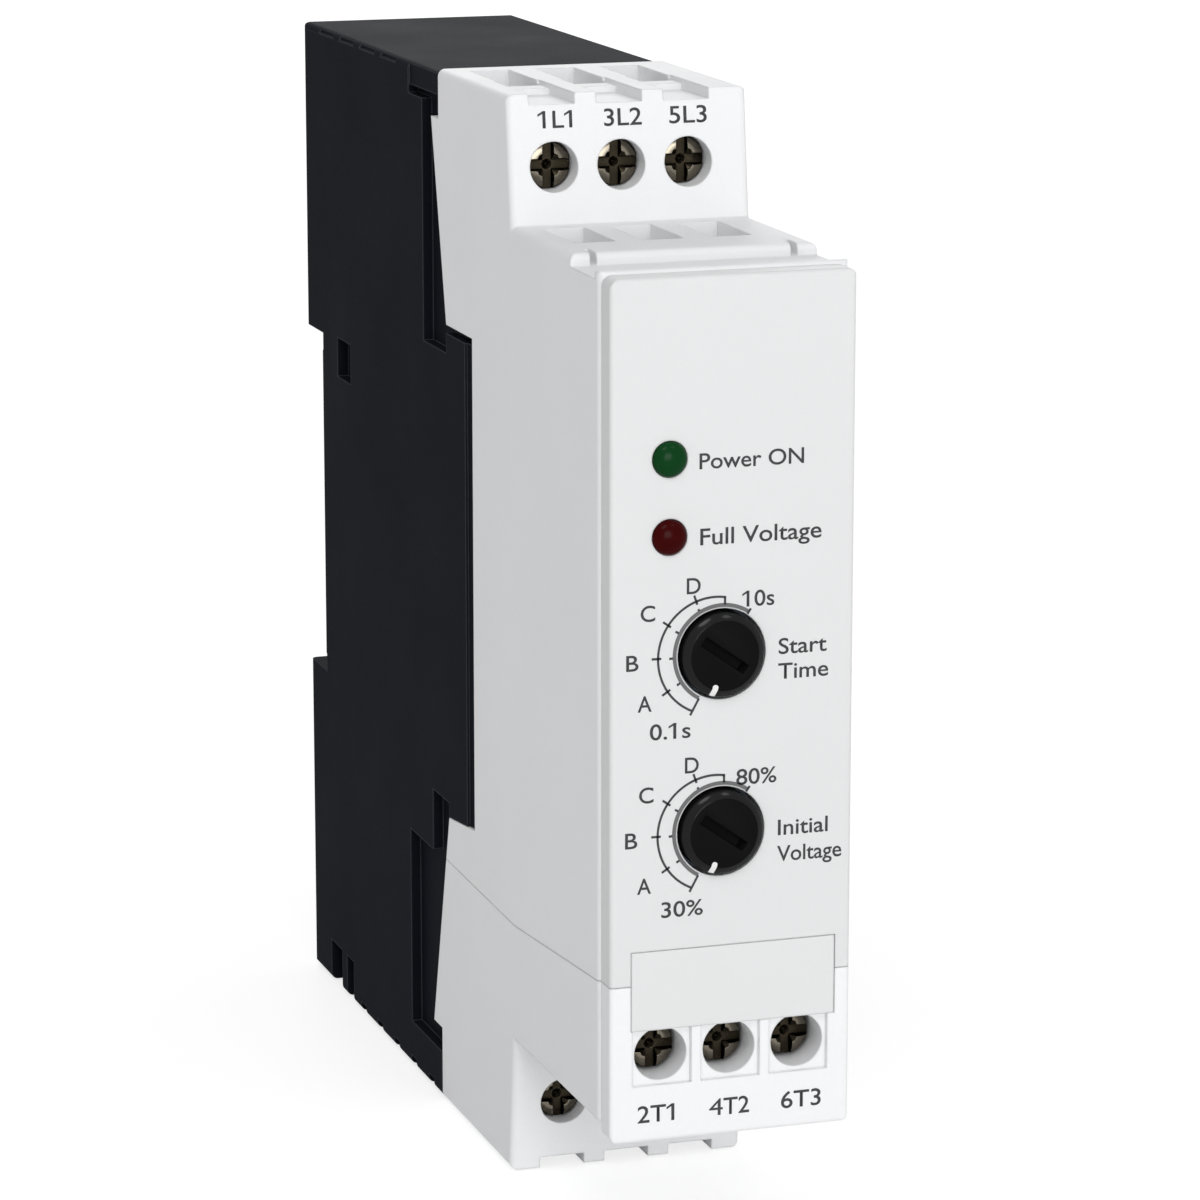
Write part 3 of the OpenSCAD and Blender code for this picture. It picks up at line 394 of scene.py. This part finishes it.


# finishes, one for each material slot of the part
# every plastic's edge colour is lighter than its base: a painted highlight along the softened corners
plastics = {
    "housing_black": dict(base=tone(0.0066, 0.0077, 0.0112), shade=tone(0.0105, 0.0118, 0.0158),
                          edge=tone(0.065, 0.069, 0.078), grain=4200.0, rough=0.6, bump=0.35,
                          specular=0.007, radius=0.00022),
    "latch_black": dict(base=tone(0.0066, 0.0077, 0.0112), shade=tone(0.0105, 0.0118, 0.0158),
                        edge=tone(0.065, 0.069, 0.078), grain=4200.0, rough=0.56, bump=0.3,
                        specular=0.008, radius=0.00022),
    "cover_white": dict(base=tone(0.855, 0.86, 0.87), shade=tone(0.81, 0.815, 0.825),
                        edge=tone(0.88, 0.885, 0.89), grain=3800.0, rough=0.55, bump=0.22,
                        specular=0.14, radius=0.0003),
    # plate_white and marker_white are darker copies of the cover's white: painted shade that keeps the plate
    # darker than the tier's front under the same lamps
    "plate_white": dict(base=tone(0.709, 0.713, 0.718), shade=tone(0.683, 0.687, 0.692),
                        edge=tone(0.75, 0.755, 0.76), grain=4600.0, rough=0.5, bump=0.12,
                        specular=0.25, radius=0.00025),
    "marker_white": dict(base=tone(0.718, 0.722, 0.726), shade=tone(0.692, 0.696, 0.70),
                         edge=tone(0.75, 0.755, 0.76), grain=4600.0, rough=0.48, bump=0.1,
                         specular=0.25, radius=0.0003),
    "lamp_green": dict(base=tone(0.002, 0.046, 0.009), shade=tone(0.002, 0.032, 0.007),
                       edge=tone(0.006, 0.065, 0.02), grain=900.0, rough=0.2, bump=0.0,
                       specular=0.06, radius=0.00005),
    "lamp_red": dict(base=tone(0.042, 0.0004, 0.0004), shade=tone(0.032, 0.0006, 0.0006),
                     edge=tone(0.07, 0.004, 0.004), grain=900.0, rough=0.2, bump=0.0,
                     specular=0.04, radius=0.00005),
    "knob_black": dict(base=tone(0.0055, 0.0055, 0.0056), shade=tone(0.0072, 0.0072, 0.0073),
                       edge=tone(0.014, 0.014, 0.0145), grain=3600.0, rough=0.4, bump=0.12,
                       specular=0.015, radius=0.00008),
    "knob_rim": dict(base=tone(0.004, 0.004, 0.0045), shade=tone(0.0055, 0.0055, 0.006),
                     edge=tone(0.006, 0.006, 0.0065), grain=3600.0, rough=0.4, bump=0.05,
                     specular=0.02, radius=0.00008, coat=0.3),
    "pot_grey": dict(base=tone(0.15, 0.19, 0.24), shade=tone(0.12, 0.15, 0.19),
                     edge=tone(0.22, 0.26, 0.31), grain=2600.0, rough=0.5, bump=0.2,
                     specular=0.4, radius=0.0002),
    "board_green": dict(base=tone(0.010, 0.075, 0.030), shade=tone(0.006, 0.045, 0.02),
                        edge=tone(0.20, 0.17, 0.09), grain=1400.0, rough=0.36, bump=0.1,
                        specular=0.45, radius=0.00015),
    "device_black": dict(base=tone(0.022, 0.022, 0.023), shade=tone(0.036, 0.036, 0.037),
                         edge=tone(0.06, 0.06, 0.06), grain=2600.0, rough=0.6, bump=0.25,
                         specular=0.35, radius=0.0002),
    "relay_blue": dict(base=tone(0.07, 0.16, 0.48), shade=tone(0.055, 0.12, 0.38),
                       edge=tone(0.14, 0.24, 0.56), grain=2200.0, rough=0.42, bump=0.12,
                       specular=0.45, radius=0.0003),
    "capacitor_sleeve": dict(base=tone(0.03, 0.025, 0.10), shade=tone(0.02, 0.017, 0.07),
                             edge=tone(0.07, 0.06, 0.17), grain=1500.0, rough=0.28, bump=0.06,
                             specular=0.5, radius=0.0003, coat=0.3),
    "print_dark": dict(base=tone(0.045, 0.045, 0.048), shade=tone(0.065, 0.065, 0.068),
                       edge=tone(0.055, 0.055, 0.058), grain=5200.0, rough=0.6, bump=0.05,
                       specular=0.2, radius=0.00001),
    "print_grey": dict(base=tone(0.135, 0.135, 0.138), shade=tone(0.165, 0.165, 0.168),
                       edge=tone(0.15, 0.15, 0.153), grain=5200.0, rough=0.6, bump=0.05,
                       specular=0.2, radius=0.00001),
    "pointer_white": dict(base=tone(0.80, 0.80, 0.79), shade=tone(0.74, 0.74, 0.73),
                          edge=tone(0.82, 0.82, 0.81), grain=4600.0, rough=0.45, bump=0.08,
                          specular=0.3, radius=0.00003),
}
metals = {
    "screw_metal": dict(base=tone(0.2, 0.178, 0.142), dull=tone(0.125, 0.109, 0.082), grain=1600.0,
                        rough=0.22, bump=0.1, radius=0.00006),
    # the screw's recess finish: a dark colour that paints shade into the recess and round the head's rim
    "screw_recess_shade": dict(base=tone(0.038, 0.031, 0.021), dull=tone(0.024, 0.02, 0.013), grain=1600.0,
                         rough=0.26, bump=0.1, radius=0.00006),
    "cage_steel": dict(base=tone(0.42, 0.41, 0.38), dull=tone(0.26, 0.25, 0.22), grain=1200.0,
                       rough=0.34, bump=0.15, radius=0.0001),
    "tinned_copper": dict(base=tone(0.55, 0.51, 0.44), dull=tone(0.36, 0.31, 0.24), grain=900.0,
                          rough=0.32, bump=0.12, radius=0.0001),
    "sink_aluminium": dict(base=tone(0.62, 0.62, 0.63), dull=tone(0.46, 0.46, 0.47), grain=700.0,
                           rough=0.38, bump=0.2, radius=0.00015),
    "lead_steel": dict(base=tone(0.55, 0.55, 0.54), dull=tone(0.38, 0.37, 0.36), grain=1500.0,
                       rough=0.3, bump=0.1, radius=0.00005),
    "spring_steel": dict(base=tone(0.46, 0.46, 0.47), dull=tone(0.28, 0.28, 0.28), grain=1500.0,
                         rough=0.28, bump=0.12, radius=0.00003),
}
finishes = {name: makePlastic(name, **values) for name, values in plastics.items()}
finishes.update({name: makeMetal(name, **values) for name, values in metals.items()})
print("finishes made:", len(finishes))

# each solid carried over takes the finish of its slot
slotOf = {part["node"]: part["material_slot"] for part in frame["record"]["subparts"]}
for name, piece in cadNodes.items():
    for holder in piece.material_slots:
        holder.material = finishes[slotOf[name]]
print("solids dressed")

# adjusting knobs; in every shape below lengths are in mm and turns in degrees
knobShape = dict(thick=2.5, sides=72, stem=3.0, rim=0.62, rimDeep=0.6, faceDrop=0.04,
                 rimRings=((0.62, 0.0), (0.56, 0.02), (0.12, 0.3), (0.04, 0.38), (0.0, 0.5)),
                 slotLength=5.3, slotWidth=0.92, slotDepth=1.35, slotTurn=35.5, slotSlope=0.5,
                 softEdge=0.07, sharpFrom=50, smoothUnder=32, rimSmoothUnder=40)
pointerShape = dict(angle=252.5, inner=2.62, width=0.5, thick=0.06, overRim=((0.5, 0.28), (0.58, 0.37)),
                    endRound=0.9, endSteps=5, smoothUnder=40)


def makeKnob(node):
    at, radius, face, end = roundNode(node)
    front = face + knobShape["faceDrop"] * mm    # room for the pointer laid on the face
    inner, step = radius - knobShape["rim"] * mm, front + knobShape["rimDeep"] * mm
    back, stem = front + knobShape["thick"] * mm, knobShape["stem"] * mm / 2
    rings = [(inner, front), (inner, step), (radius, step), (radius, back), (stem, back), (stem, end)]
    knob = turnPiece(at, rings, knobShape["sides"])
    half = Vector((knobShape["slotLength"], 0, knobShape["slotWidth"])) * mm / 2
    depth = Vector((0, knobShape["slotDepth"] * mm, 0))
    mouth = Vector((at.x, front, at.z))
    turn = math.radians(knobShape["slotTurn"])
    cutter = boxPiece(mouth - half - depth, mouth + half + depth, turn)
    openEdit(cutter)
    run = Vector((math.cos(turn), 0, -math.sin(turn)))
    floor = front + depth.y
    # the floor's ends draw in, so the screwdriver slot has sloping ends
    for way in (-1, 1):
        chooseParts(cutter, lambda v: v.co.y > floor - tiny and (v.co - at).dot(run) * way > 0, "verts")
        bpy.ops.transform.translate(value=run * (-way * knobShape["slotSlope"] * mm))
    closeEdit()
    carveWith(knob, cutter)
    softenEdges(knob, knobShape["softEdge"] * mm, knobShape["sharpFrom"])
    smoothUnder(knob, knobShape["smoothUnder"])
    return knob


def makeRim(node):
    at, radius, face = roundNode(node)[:3]
    front = face + knobShape["faceDrop"] * mm
    step = front + knobShape["rimDeep"] * mm
    rings = [(radius - inward * mm, front + deep * mm) for inward, deep in knobShape["rimRings"]]
    rings += [(radius, step), (radius - knobShape["rim"] * mm, step)]
    rim = turnPiece(at, rings, knobShape["sides"], hoop=True)
    smoothUnder(rim, knobShape["rimSmoothUnder"])
    return rim


def makePointer(node):
    at, radius, front = roundNode(node)[:3]
    thick, half = pointerShape["thick"] * mm, pointerShape["width"] * mm / 2
    inner, shoulder = pointerShape["inner"] * mm, radius - knobShape["rim"] * mm
    dropSelection()
    # a strip laid out along +X and over the rim, then turned to its mark
    bpy.ops.mesh.primitive_plane_add(size=1, rotation=(math.pi / 2, 0, 0),
                                     location=((inner + shoulder) / 2, 0, 0))
    strip = bpy.context.object
    strip.scale = (shoulder - inner, 2 * half, 1)
    settle(strip)
    openEdit(strip, "EDGE")
    chooseParts(strip, lambda e: all(v.co.x > shoulder - tiny for v in e.verts), "edges")
    reach, depth = shoulder, 0.0
    for out, deep in pointerShape["overRim"]:
        nextReach, nextDepth = shoulder + out * mm, deep * mm
        bpy.ops.mesh.extrude_edges_move(
            TRANSFORM_OT_translate={"value": (nextReach - reach, nextDepth - depth, 0)})
        reach, depth = nextReach, nextDepth
    bpy.ops.mesh.select_mode(type="VERT")
    chooseParts(strip, lambda v: v.co.x < inner + tiny, "verts")
    bpy.ops.mesh.bevel(offset=half * pointerShape["endRound"], segments=pointerShape["endSteps"],
                       affect="VERTICES")
    closeEdit()
    useModifier(strip, "SOLIDIFY", thickness=thick, offset=0.0)
    strip.rotation_euler = (0, -math.radians(pointerShape["angle"]), 0)
    strip.location = (at.x, front + thick / 2, at.z)
    settle(strip)
    smoothUnder(strip, pointerShape["smoothUnder"])
    return strip


for node, word in (("start_time_knob", "startTime"), ("start_voltage_knob", "startVoltage")):
    knob = hand(makeKnob(node), word + "KnobCap", node, finishes["knob_black"])
    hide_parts(node)
    hand(makeRim(node), word + "KnobRim", node, finishes["knob_rim"])
    hand(makePointer(node), word + "Pointer", node, finishes["pointer_white"])
print("knobs made")

# lamps: a round lens on a flange behind the plate
lensShape = dict(dome=1.55, high=0.86, steps=14, firstTurn=4.0, lastTurn=90.0, neck=3.25, sides=64,
                 smoothUnder=40)


def makeLens(node):
    at, flange, front, end = roundNode(node)
    dome, tall = lensShape["dome"] * mm, lensShape["high"] * mm
    first, last, steps = lensShape["firstTurn"], lensShape["lastTurn"], lensShape["steps"]
    rings = []
    for step in range(steps + 1):
        turn = math.radians(first + (last - first) * step / steps)
        rings.append((dome * math.sin(turn), front + tall * (1 - math.cos(turn))))
    neck = front + lensShape["neck"] * mm
    rings += [(dome, neck), (flange, neck), (flange, end)]
    lens = turnPiece(at, rings, lensShape["sides"])
    smoothUnder(lens, lensShape["smoothUnder"])
    return lens


for node, word, slot in (("power_lamp", "powerLens", "lamp_green"),
                         ("voltage_lamp", "voltageLens", "lamp_red")):
    lens = hand(makeLens(node), word, "housing", finishes[slot])
    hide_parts(node)
print("lamps made")

# terminal screws: one is modelled, the rest are copies
screwShape = dict(crown=1.2, crownFall=0.4, crownSteps=6, headDeep=2.2, sides=48,
                  threadDia=2.9, rootDia=2.45, pitch=0.5, crestFrom=0.4, crestTo=0.6, tip=0.45, tipShare=0.7,
                  armLength=4.7, armWidth=1.15, armDepth=0.6, armSunk=0.9, footLength=1.0, footWidth=0.7,
                  middleDia=2.7, middleFoot=0.05, middleAhead=0.1, middleDepth=0.95, middleSides=8,
                  softEdge=0.07, sharpFrom=50, smoothUnder=35, shadeSink=0.05, shadedRimShare=0.93)


def makeScrew(node):
    s = screwShape
    at, radius, front, end = roundNode(node)
    crown, fall = s["crown"] * mm, s["crownFall"] * mm
    rings = []
    for step in range(s["crownSteps"] + 1):
        turn = step / s["crownSteps"] * math.pi / 2
        rings.append((crown + (radius - crown) * math.sin(turn), front + fall * (1 - math.cos(turn))))
    shoulder, tip = front + s["headDeep"] * mm, end - s["tip"] * mm
    thread, root, pitch = s["threadDia"] * mm / 2, s["rootDia"] * mm / 2, s["pitch"] * mm
    rings += [(radius, shoulder), (root, shoulder)]
    depth = shoulder + pitch / 2
    while depth + pitch < tip:
        crest = depth + pitch * s["crestFrom"], depth + pitch * s["crestTo"]
        rings += [(root, depth), (thread, crest[0]), (thread, crest[1])]
        depth += pitch
    rings += [(root, tip), (root * s["tipShare"], end)]
    screw = turnPiece(at, rings, s["sides"])
    # cross recess: two arms that narrow towards their foot, and a cone in the middle
    mouth = Vector((at.x, front, at.z))
    half = Vector((s["armLength"], 0, s["armWidth"])) * mm / 2
    deep = Vector((0, s["armDepth"] * mm, 0))
    along, across = s["footLength"], s["footWidth"]
    for turn, narrow in ((0.0, (along, 1, across)), (math.pi / 2, (across, 1, along))):
        cutter = boxPiece(mouth - half - deep, mouth + half + deep, turn)
        openEdit(cutter)
        chooseParts(cutter, lambda f: f.normal.y > facing)
        bpy.ops.transform.resize(value=narrow, center_override=tuple(mouth))
        chooseParts(cutter, lambda f: f.normal.y < -facing)
        bpy.ops.transform.translate(value=(0, s["armDepth"] * mm * s["armSunk"], 0))
        closeEdit()
        carveWith(screw, cutter)
    middle = s["middleDia"] * mm / 2
    cone = [(middle, front - s["middleAhead"] * mm), (middle * s["middleFoot"], front + s["middleDepth"] * mm)]
    carveWith(screw, turnPiece(at, cone, s["middleSides"]))
    softenEdges(screw, s["softEdge"] * mm, s["sharpFrom"])
    smoothUnder(screw, s["smoothUnder"])
    return screw, mouth


# painted shade: the recess and the head's rim take the dark recess finish: faces that lie below the crown, or
# outside its rim
def shadeHead(screw, node):
    at, radius, front = roundNode(node)[:3]
    crown, fall = screwShape["crown"] * mm, screwShape["crownFall"] * mm
    screw.data.materials.append(finishes["screw_recess_shade"])

    def shadedFace(face):
        middle = face.calc_center_median()
        reach = math.hypot(middle.x - at.x, middle.z - at.z)
        share = min(max((reach - crown) / (radius - crown), 0.0), 1.0)
        top = front + fall * (1 - math.cos(math.asin(share)))
        inHead = middle.y < front + screwShape["headDeep"] * mm
        sunk = middle.y > top + screwShape["shadeSink"] * mm
        return inHead and (sunk or reach > radius * screwShape["shadedRimShare"])

    openEdit(screw)
    chooseParts(screw, shadedFace)
    screw.active_material_index = 1
    bpy.ops.object.material_slot_assign()
    closeEdit(mend=False)


pattern, patternAt = makeScrew("upper_screw_1")
for row, word in (("upper", "upperScrew"), ("front", "frontScrew"), ("lower", "lowerScrew")):
    for pole in (1, 2, 3):
        node = f"{row}_screw_{pole}"
        at, _, front, _ = roundNode(node)
        screw = twin(pattern)
        screw.location = Vector((at.x, front, at.z)) - patternAt
        settle(screw)
        hand(screw, f"{word}{pole}", node, finishes["screw_metal"])
        shadeHead(screw, node)
        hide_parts(node)
bpy.data.objects.remove(pattern)
print("screws made")

# print on the plate and the upper tier; all of it lies flat and gets its thickness at the end
# letterTop is the height of capitals at size 1; a thin word keeps the font's own weight
ink = dict(thick=0.05, line=0.2, ringWidth=0.34, letterTop=0.7287, heavy=0.007, thin="4",
           curveSteps=6, arcSteps=360, arcSlack=0.01)
flagShape = dict(long=0.2, thick=0.095, fall=0.13, lap=0.02)      # the stroke at the head of a 1, at size 1


# the letters of a flat word from left to right, each as its island's left edge and top
def letterCorners(word):
    mesh = bmesh.new()
    mesh.from_mesh(word.data)
    left, corners = set(mesh.verts), []
    while left:
        island, edge = set(), [left.pop()]
        while edge:
            vert = edge.pop()
            island.add(vert)
            near = {other for link in vert.link_edges for other in link.verts} & left
            left -= near
            edge += near
        corners.append((min(v.co.x for v in island), max(v.co.y for v in island)))
    mesh.free()
    return sorted(corners)


def makeFlag(left, top):
    dropSelection()
    bpy.ops.mesh.primitive_plane_add(size=1)
    flag = bpy.context.object
    flag.scale = (flagShape["long"], flagShape["thick"], 1)
    flag.location = (left + flagShape["lap"] - flagShape["long"] / 2, top - flagShape["thick"] / 2, 0)
    settle(flag)
    openEdit(flag, "VERT")
    chooseParts(flag, lambda v: v.co.x < left - flagShape["long"] / 2, "verts")
    bpy.ops.transform.translate(value=(0, -flagShape["fall"], 0))
    closeEdit(mend=False)
    return flag


def makeWord(letters, left, base, width, cap, lean=0.0):
    dropSelection()
    bpy.ops.object.text_add()
    word = bpy.context.object
    word.data.body = letters
    word.data.resolution_u = ink["curveSteps"]
    word.data.offset = 0.0 if letters == ink["thin"] else ink["heavy"]    # a heavy 4 would close up
    bpy.ops.object.convert(target="MESH")
    word = bpy.context.object
    if "1" in letters:
        corners = letterCorners(word)
        flags = [makeFlag(*corners[place]) for place, letter in enumerate(letters) if letter == "1"]
        word = joinPieces([word] + flags)
    across = [v.co.x for v in word.data.vertices]
    wide = max(across) - min(across)
    word.location = (-min(across), 0, 0)
    settle(word)
    word.scale = (width * mm / wide, cap * mm / ink["letterTop"], 1)
    settle(word)
    word.rotation_euler = (math.pi / 2 - lean, 0, 0)
    word.location = (left * mm, plateFace, base * mm)
    settle(word)
    return word


def makeArc(middle, radius, width, startTurn, endTurn):
    dropSelection()
    bpy.ops.mesh.primitive_circle_add(
        vertices=ink["arcSteps"], radius=(radius - width / 2) * mm, fill_type="NOTHING",
        location=middle, rotation=(math.pi / 2, 0, 0))
    arc = bpy.context.object
    settle(arc)
    openEdit(arc, "VERT")

    def outside(vert):
        turn = math.degrees(math.atan2(vert.co.z - middle.z, vert.co.x - middle.x)) % 360
        return not startTurn - ink["arcSlack"] <= turn <= endTurn + ink["arcSlack"]

    chooseParts(arc, outside, "verts")
    bpy.ops.mesh.delete(type="VERT")
    bpy.ops.mesh.select_all(action="SELECT")
    ratio = (radius + width / 2) / (radius - width / 2)
    bpy.ops.mesh.extrude_edges_move()
    bpy.ops.transform.resize(value=(ratio, 1, ratio), center_override=tuple(middle))
    closeEdit()
    return arc


def makeTick(middle, turn, inner, outer, width):
    dropSelection()
    swing = math.radians(turn)
    reach = (inner + outer) / 2 * mm
    place = middle + Vector((math.cos(swing), 0, math.sin(swing))) * reach
    bpy.ops.mesh.primitive_plane_add(size=1, location=place, rotation=(math.pi / 2, -swing, 0))
    tick = bpy.context.object
    tick.scale = ((outer - inner) * mm, width * mm, 1)
    settle(tick)
    return tick


def finishPrint(parts, name, finish):
    printed = joinPieces(parts)
    openEdit(printed)
    mesh = bmesh.from_edit_mesh(printed.data)
    for face in mesh.faces:
        if face.normal.y > 0:
            face.normal_flip()
    bmesh.update_edit_mesh(printed.data)
    bpy.ops.object.mode_set(mode="OBJECT")
    useModifier(printed, "SOLIDIFY", thickness=ink["thick"] * mm, offset=0.0)
    return hand(printed, name, "housing", finishes[finish])


# a tick or an end is its turn, then how far from the axis it starts and ends
dialShape = dict(ringRadius=4.28, ringFrom=56, ringTo=241,
                 ringTicks=(152, 181.3, 211.5), ringInner=4.42, ringOuter=4.76,
                 scaleShift=(-0.62, 0, -0.12), scaleRadius=5.15, scaleFrom=80, scaleTo=246,
                 scaleTicks=(109.5, 145.3, 179.2, 213.7), scaleInner=4.86, scaleOuter=5.72,
                 lowEnd=(241.3, 4.3, 5.94), highEnd=(55.5, 4.05, 4.62), dash=(118.0, 4.42, 4.6),
                 bracketShift=(0.26, 0, 0), bracket=(90, 4.3, 5.05), capHeight=1.45)
# word: how far right of the knob's axis, how far above it, width (all in mm)
dialWords = {
    "start_time_knob": (("D", -3.2, 5.44, 1.25), ("C", -7.34, 3.28, 1.3), ("B", -8.63, -0.96, 1.1),
                        ("A", -7.59, -4.6, 1.25), ("0.1s", -6.49, -7.15, 3.68), ("10s", 1.83, 4.0, 2.91),
                        ("Start", 5.17, -0.4, 4.41), ("Time", 5.15, -2.6, 4.59)),
    "start_voltage_knob": (("D", -3.3, 5.39, 1.25), ("C", -7.45, 3.03, 1.3), ("B", -8.71, -0.91, 1.1),
                           ("A", -7.61, -5.04, 1.25), ("30%", -5.41, -7.32, 3.79), ("80%", 1.38, 3.98, 3.68),
                           ("Initial", 5.24, -0.82, 4.6), ("Voltage", 5.18, -3.17, 5.95)),
}


def makeDial(node, word):
    d, line, at = dialShape, ink["line"], roundNode(node)[0]
    axis = Vector((at.x, plateFace, at.z))
    scaleAt = axis + Vector(d["scaleShift"]) * mm
    bracketAt = axis + Vector(d["bracketShift"]) * mm
    ring = makeArc(axis, d["ringRadius"], ink["ringWidth"], d["ringFrom"], d["ringTo"])
    finishPrint([ring], word + "DialRing", "print_grey")
    parts = [makeArc(scaleAt, d["scaleRadius"], line, d["scaleFrom"], d["scaleTo"])]
    parts += [makeTick(scaleAt, turn, d["scaleInner"], d["scaleOuter"], line) for turn in d["scaleTicks"]]
    parts += [makeTick(axis, turn, d["ringInner"], d["ringOuter"], line) for turn in d["ringTicks"]]
    # the lines that close the scale at both ends, and the broken end of its last mark
    parts += [makeTick(axis, *d[end], line) for end in ("lowEnd", "highEnd", "dash")]
    parts.append(makeTick(bracketAt, *d["bracket"], line))
    for letters, right, up, width in dialWords[node]:
        parts.append(makeWord(letters, axis.x / mm + right, axis.z / mm + up, width, d["capHeight"]))
    finishPrint(parts, word + "DialPrint", "print_dark")


makeDial("start_time_knob", "startTime")
makeDial("start_voltage_knob", "startVoltage")
print("dials printed")

# words beside the lamps, from each lamp's axis
lampWords = {"power_lamp": ("Power ON", 2.65, -1.0, 9.44, 1.42),
             "voltage_lamp": ("Full Voltage", 2.75, -0.85, 11.0, 1.5)}
parts = []
for node, (letters, right, up, width, cap) in lampWords.items():
    middle = roundNode(node)[0] / mm
    parts.append(makeWord(letters, middle.x + right, middle.z + up, width, cap))
finishPrint(parts, "lampWords", "print_dark")

# terminal numbers: left edge, width
lowerNumbers = dict(base=13.5, cap=1.6, words=(("2T1", -8.54, 3.38), ("4", -1.95, 1.27),
                                               ("T2", -0.62, 2.38), ("6T3", 4.74, 3.71)))
parts = [makeWord(letters, left, lowerNumbers["base"], width, lowerNumbers["cap"])
         for letters, left, width in lowerNumbers["words"]]
finishPrint(parts, "lowerTerminalNumbers", "print_dark")
# the tier's face leans back: its foot lies footDeep behind the plate's face at footHigh
upperNumbers = dict(base=96.95, cap=1.6, footDeep=27.4, footHigh=88.4, topDeep=28.8, topHigh=100.0,
                    words=(("1L1", -8.47, 3.21), ("3L2", -2.28, 3.53), ("5L3", 3.85, 3.55)))
u = upperNumbers
lean = math.atan2(u["topDeep"] - u["footDeep"], u["topHigh"] - u["footHigh"])
back = (u["footDeep"] + (u["base"] - u["footHigh"]) * math.tan(lean)) * mm
parts = []
for letters, left, width in u["words"]:
    word = makeWord(letters, left, u["base"], width, u["cap"], lean)
    word.location.y = back
    settle(word)
    parts.append(word)
finishPrint(parts, "upperTerminalNumbers", "print_dark")
print("words printed")

# camera at the photograph's place, here in metres and radians
cameraShape = dict(place=(-0.13782, -0.43421, 0.15029), pitch=-0.2185, yaw=-0.316, lens=146.96, sensor=36.0)
cameraData = bpy.data.cameras.new("camera")
cameraData.lens = cameraShape["lens"]
cameraData.sensor_width = cameraShape["sensor"]
camera = bpy.data.objects.new("camera", cameraData)
camera.location = cameraShape["place"]
camera.rotation_euler = (math.pi / 2 + cameraShape["pitch"], 0, cameraShape["yaw"])
bpy.context.collection.objects.link(camera)
bpy.context.scene.camera = camera

# studio: a pale floor, white surroundings and four soft round lamps, in metres and watts
studio = dict(world=0.46, floorSize=6.0, floorDrop=0.0002, floorPale=0.95, floorShow=0.4, floorGlow=0.74)
studioLamps = {
    "keyRight": dict(place=(0.34, -0.55, 0.75), aim=(0, 0, 0.05), size=0.2, power=0.4),
    "keyLeft": dict(place=(-0.26, -0.55, 0.75), aim=(0, 0, 0.05), size=0.36, power=1.75),
    "lowFill": dict(place=(-0.02, -0.98, 0.16), aim=(0, 0, 0.03), size=0.5, power=3.85),
    "backBox": dict(place=(0.3, 1.6, 0.8), aim=(0, 0, 0.1), size=0.8, power=7.0),
}


def makeLamp(name, place, aim, size, power):
    data = bpy.data.lights.new(name, "AREA")
    data.shape = "DISK"
    data.size = size
    data.energy = power
    lamp = bpy.data.objects.new(name, data)
    lamp.location = place
    lamp.rotation_euler = (Vector(aim) - Vector(place)).to_track_quat("-Z", "Y").to_euler()
    bpy.context.collection.objects.link(lamp)


for name, values in studioLamps.items():
    makeLamp(name, **values)


# the camera, gloss and clear parts see the surroundings white
def seenDirectly(tree):
    path = tree.nodes.new("ShaderNodeLightPath")
    seen = addMath(tree, "MAXIMUM", path.outputs["Is Camera Ray"], path.outputs["Is Glossy Ray"])
    return addMath(tree, "MAXIMUM", seen, path.outputs["Is Transmission Ray"])


world = bpy.data.worlds.new("studioWorld")
bpy.context.scene.world = world
worldTree = bareTree(world)
sky = addNode(worldTree, "ShaderNodeBackground", Color=tone(1, 1, 1))
strength = addNode(worldTree, "ShaderNodeMapRange", **{"To Min": studio["world"], "To Max": 1.0})
worldTree.links.new(seenDirectly(worldTree), strength.inputs["Value"])
worldTree.links.new(strength.outputs["Result"], sky.inputs["Strength"])
skyOut = worldTree.nodes.new("ShaderNodeOutputWorld")
worldTree.links.new(sky.outputs["Background"], skyOut.inputs["Surface"])

dropSelection()
bpy.ops.mesh.primitive_plane_add(size=studio["floorSize"], location=(0, 0, -studio["floorDrop"]))
floor = bpy.context.object
floor.name = "studioFloor"
settle(floor)
paper = bpy.data.materials.new("studioPaper")
paperTree = bareTree(paper)
plain = addNode(paperTree, "ShaderNodeBsdfDiffuse", Color=tone(*(studio["floorPale"],) * 3))
shown = addNode(paperTree, "ShaderNodeBsdfDiffuse", Color=tone(*(studio["floorShow"],) * 3))
glow = addNode(paperTree, "ShaderNodeEmission", Color=tone(1, 1, 1), Strength=studio["floorGlow"])
both = paperTree.nodes.new("ShaderNodeAddShader")
choose = paperTree.nodes.new("ShaderNodeMixShader")
paperOut = paperTree.nodes.new("ShaderNodeOutputMaterial")
paperTree.links.new(shown.outputs[0], both.inputs[0])
paperTree.links.new(glow.outputs[0], both.inputs[1])
paperTree.links.new(seenDirectly(paperTree), choose.inputs[0])
paperTree.links.new(plain.outputs[0], choose.inputs[1])
paperTree.links.new(both.outputs[0], choose.inputs[2])
paperTree.links.new(choose.outputs[0], paperOut.inputs["Surface"])
floor.data.materials.append(paper)

bpy.context.scene.view_settings.view_transform = "Standard"
print("studio ready")
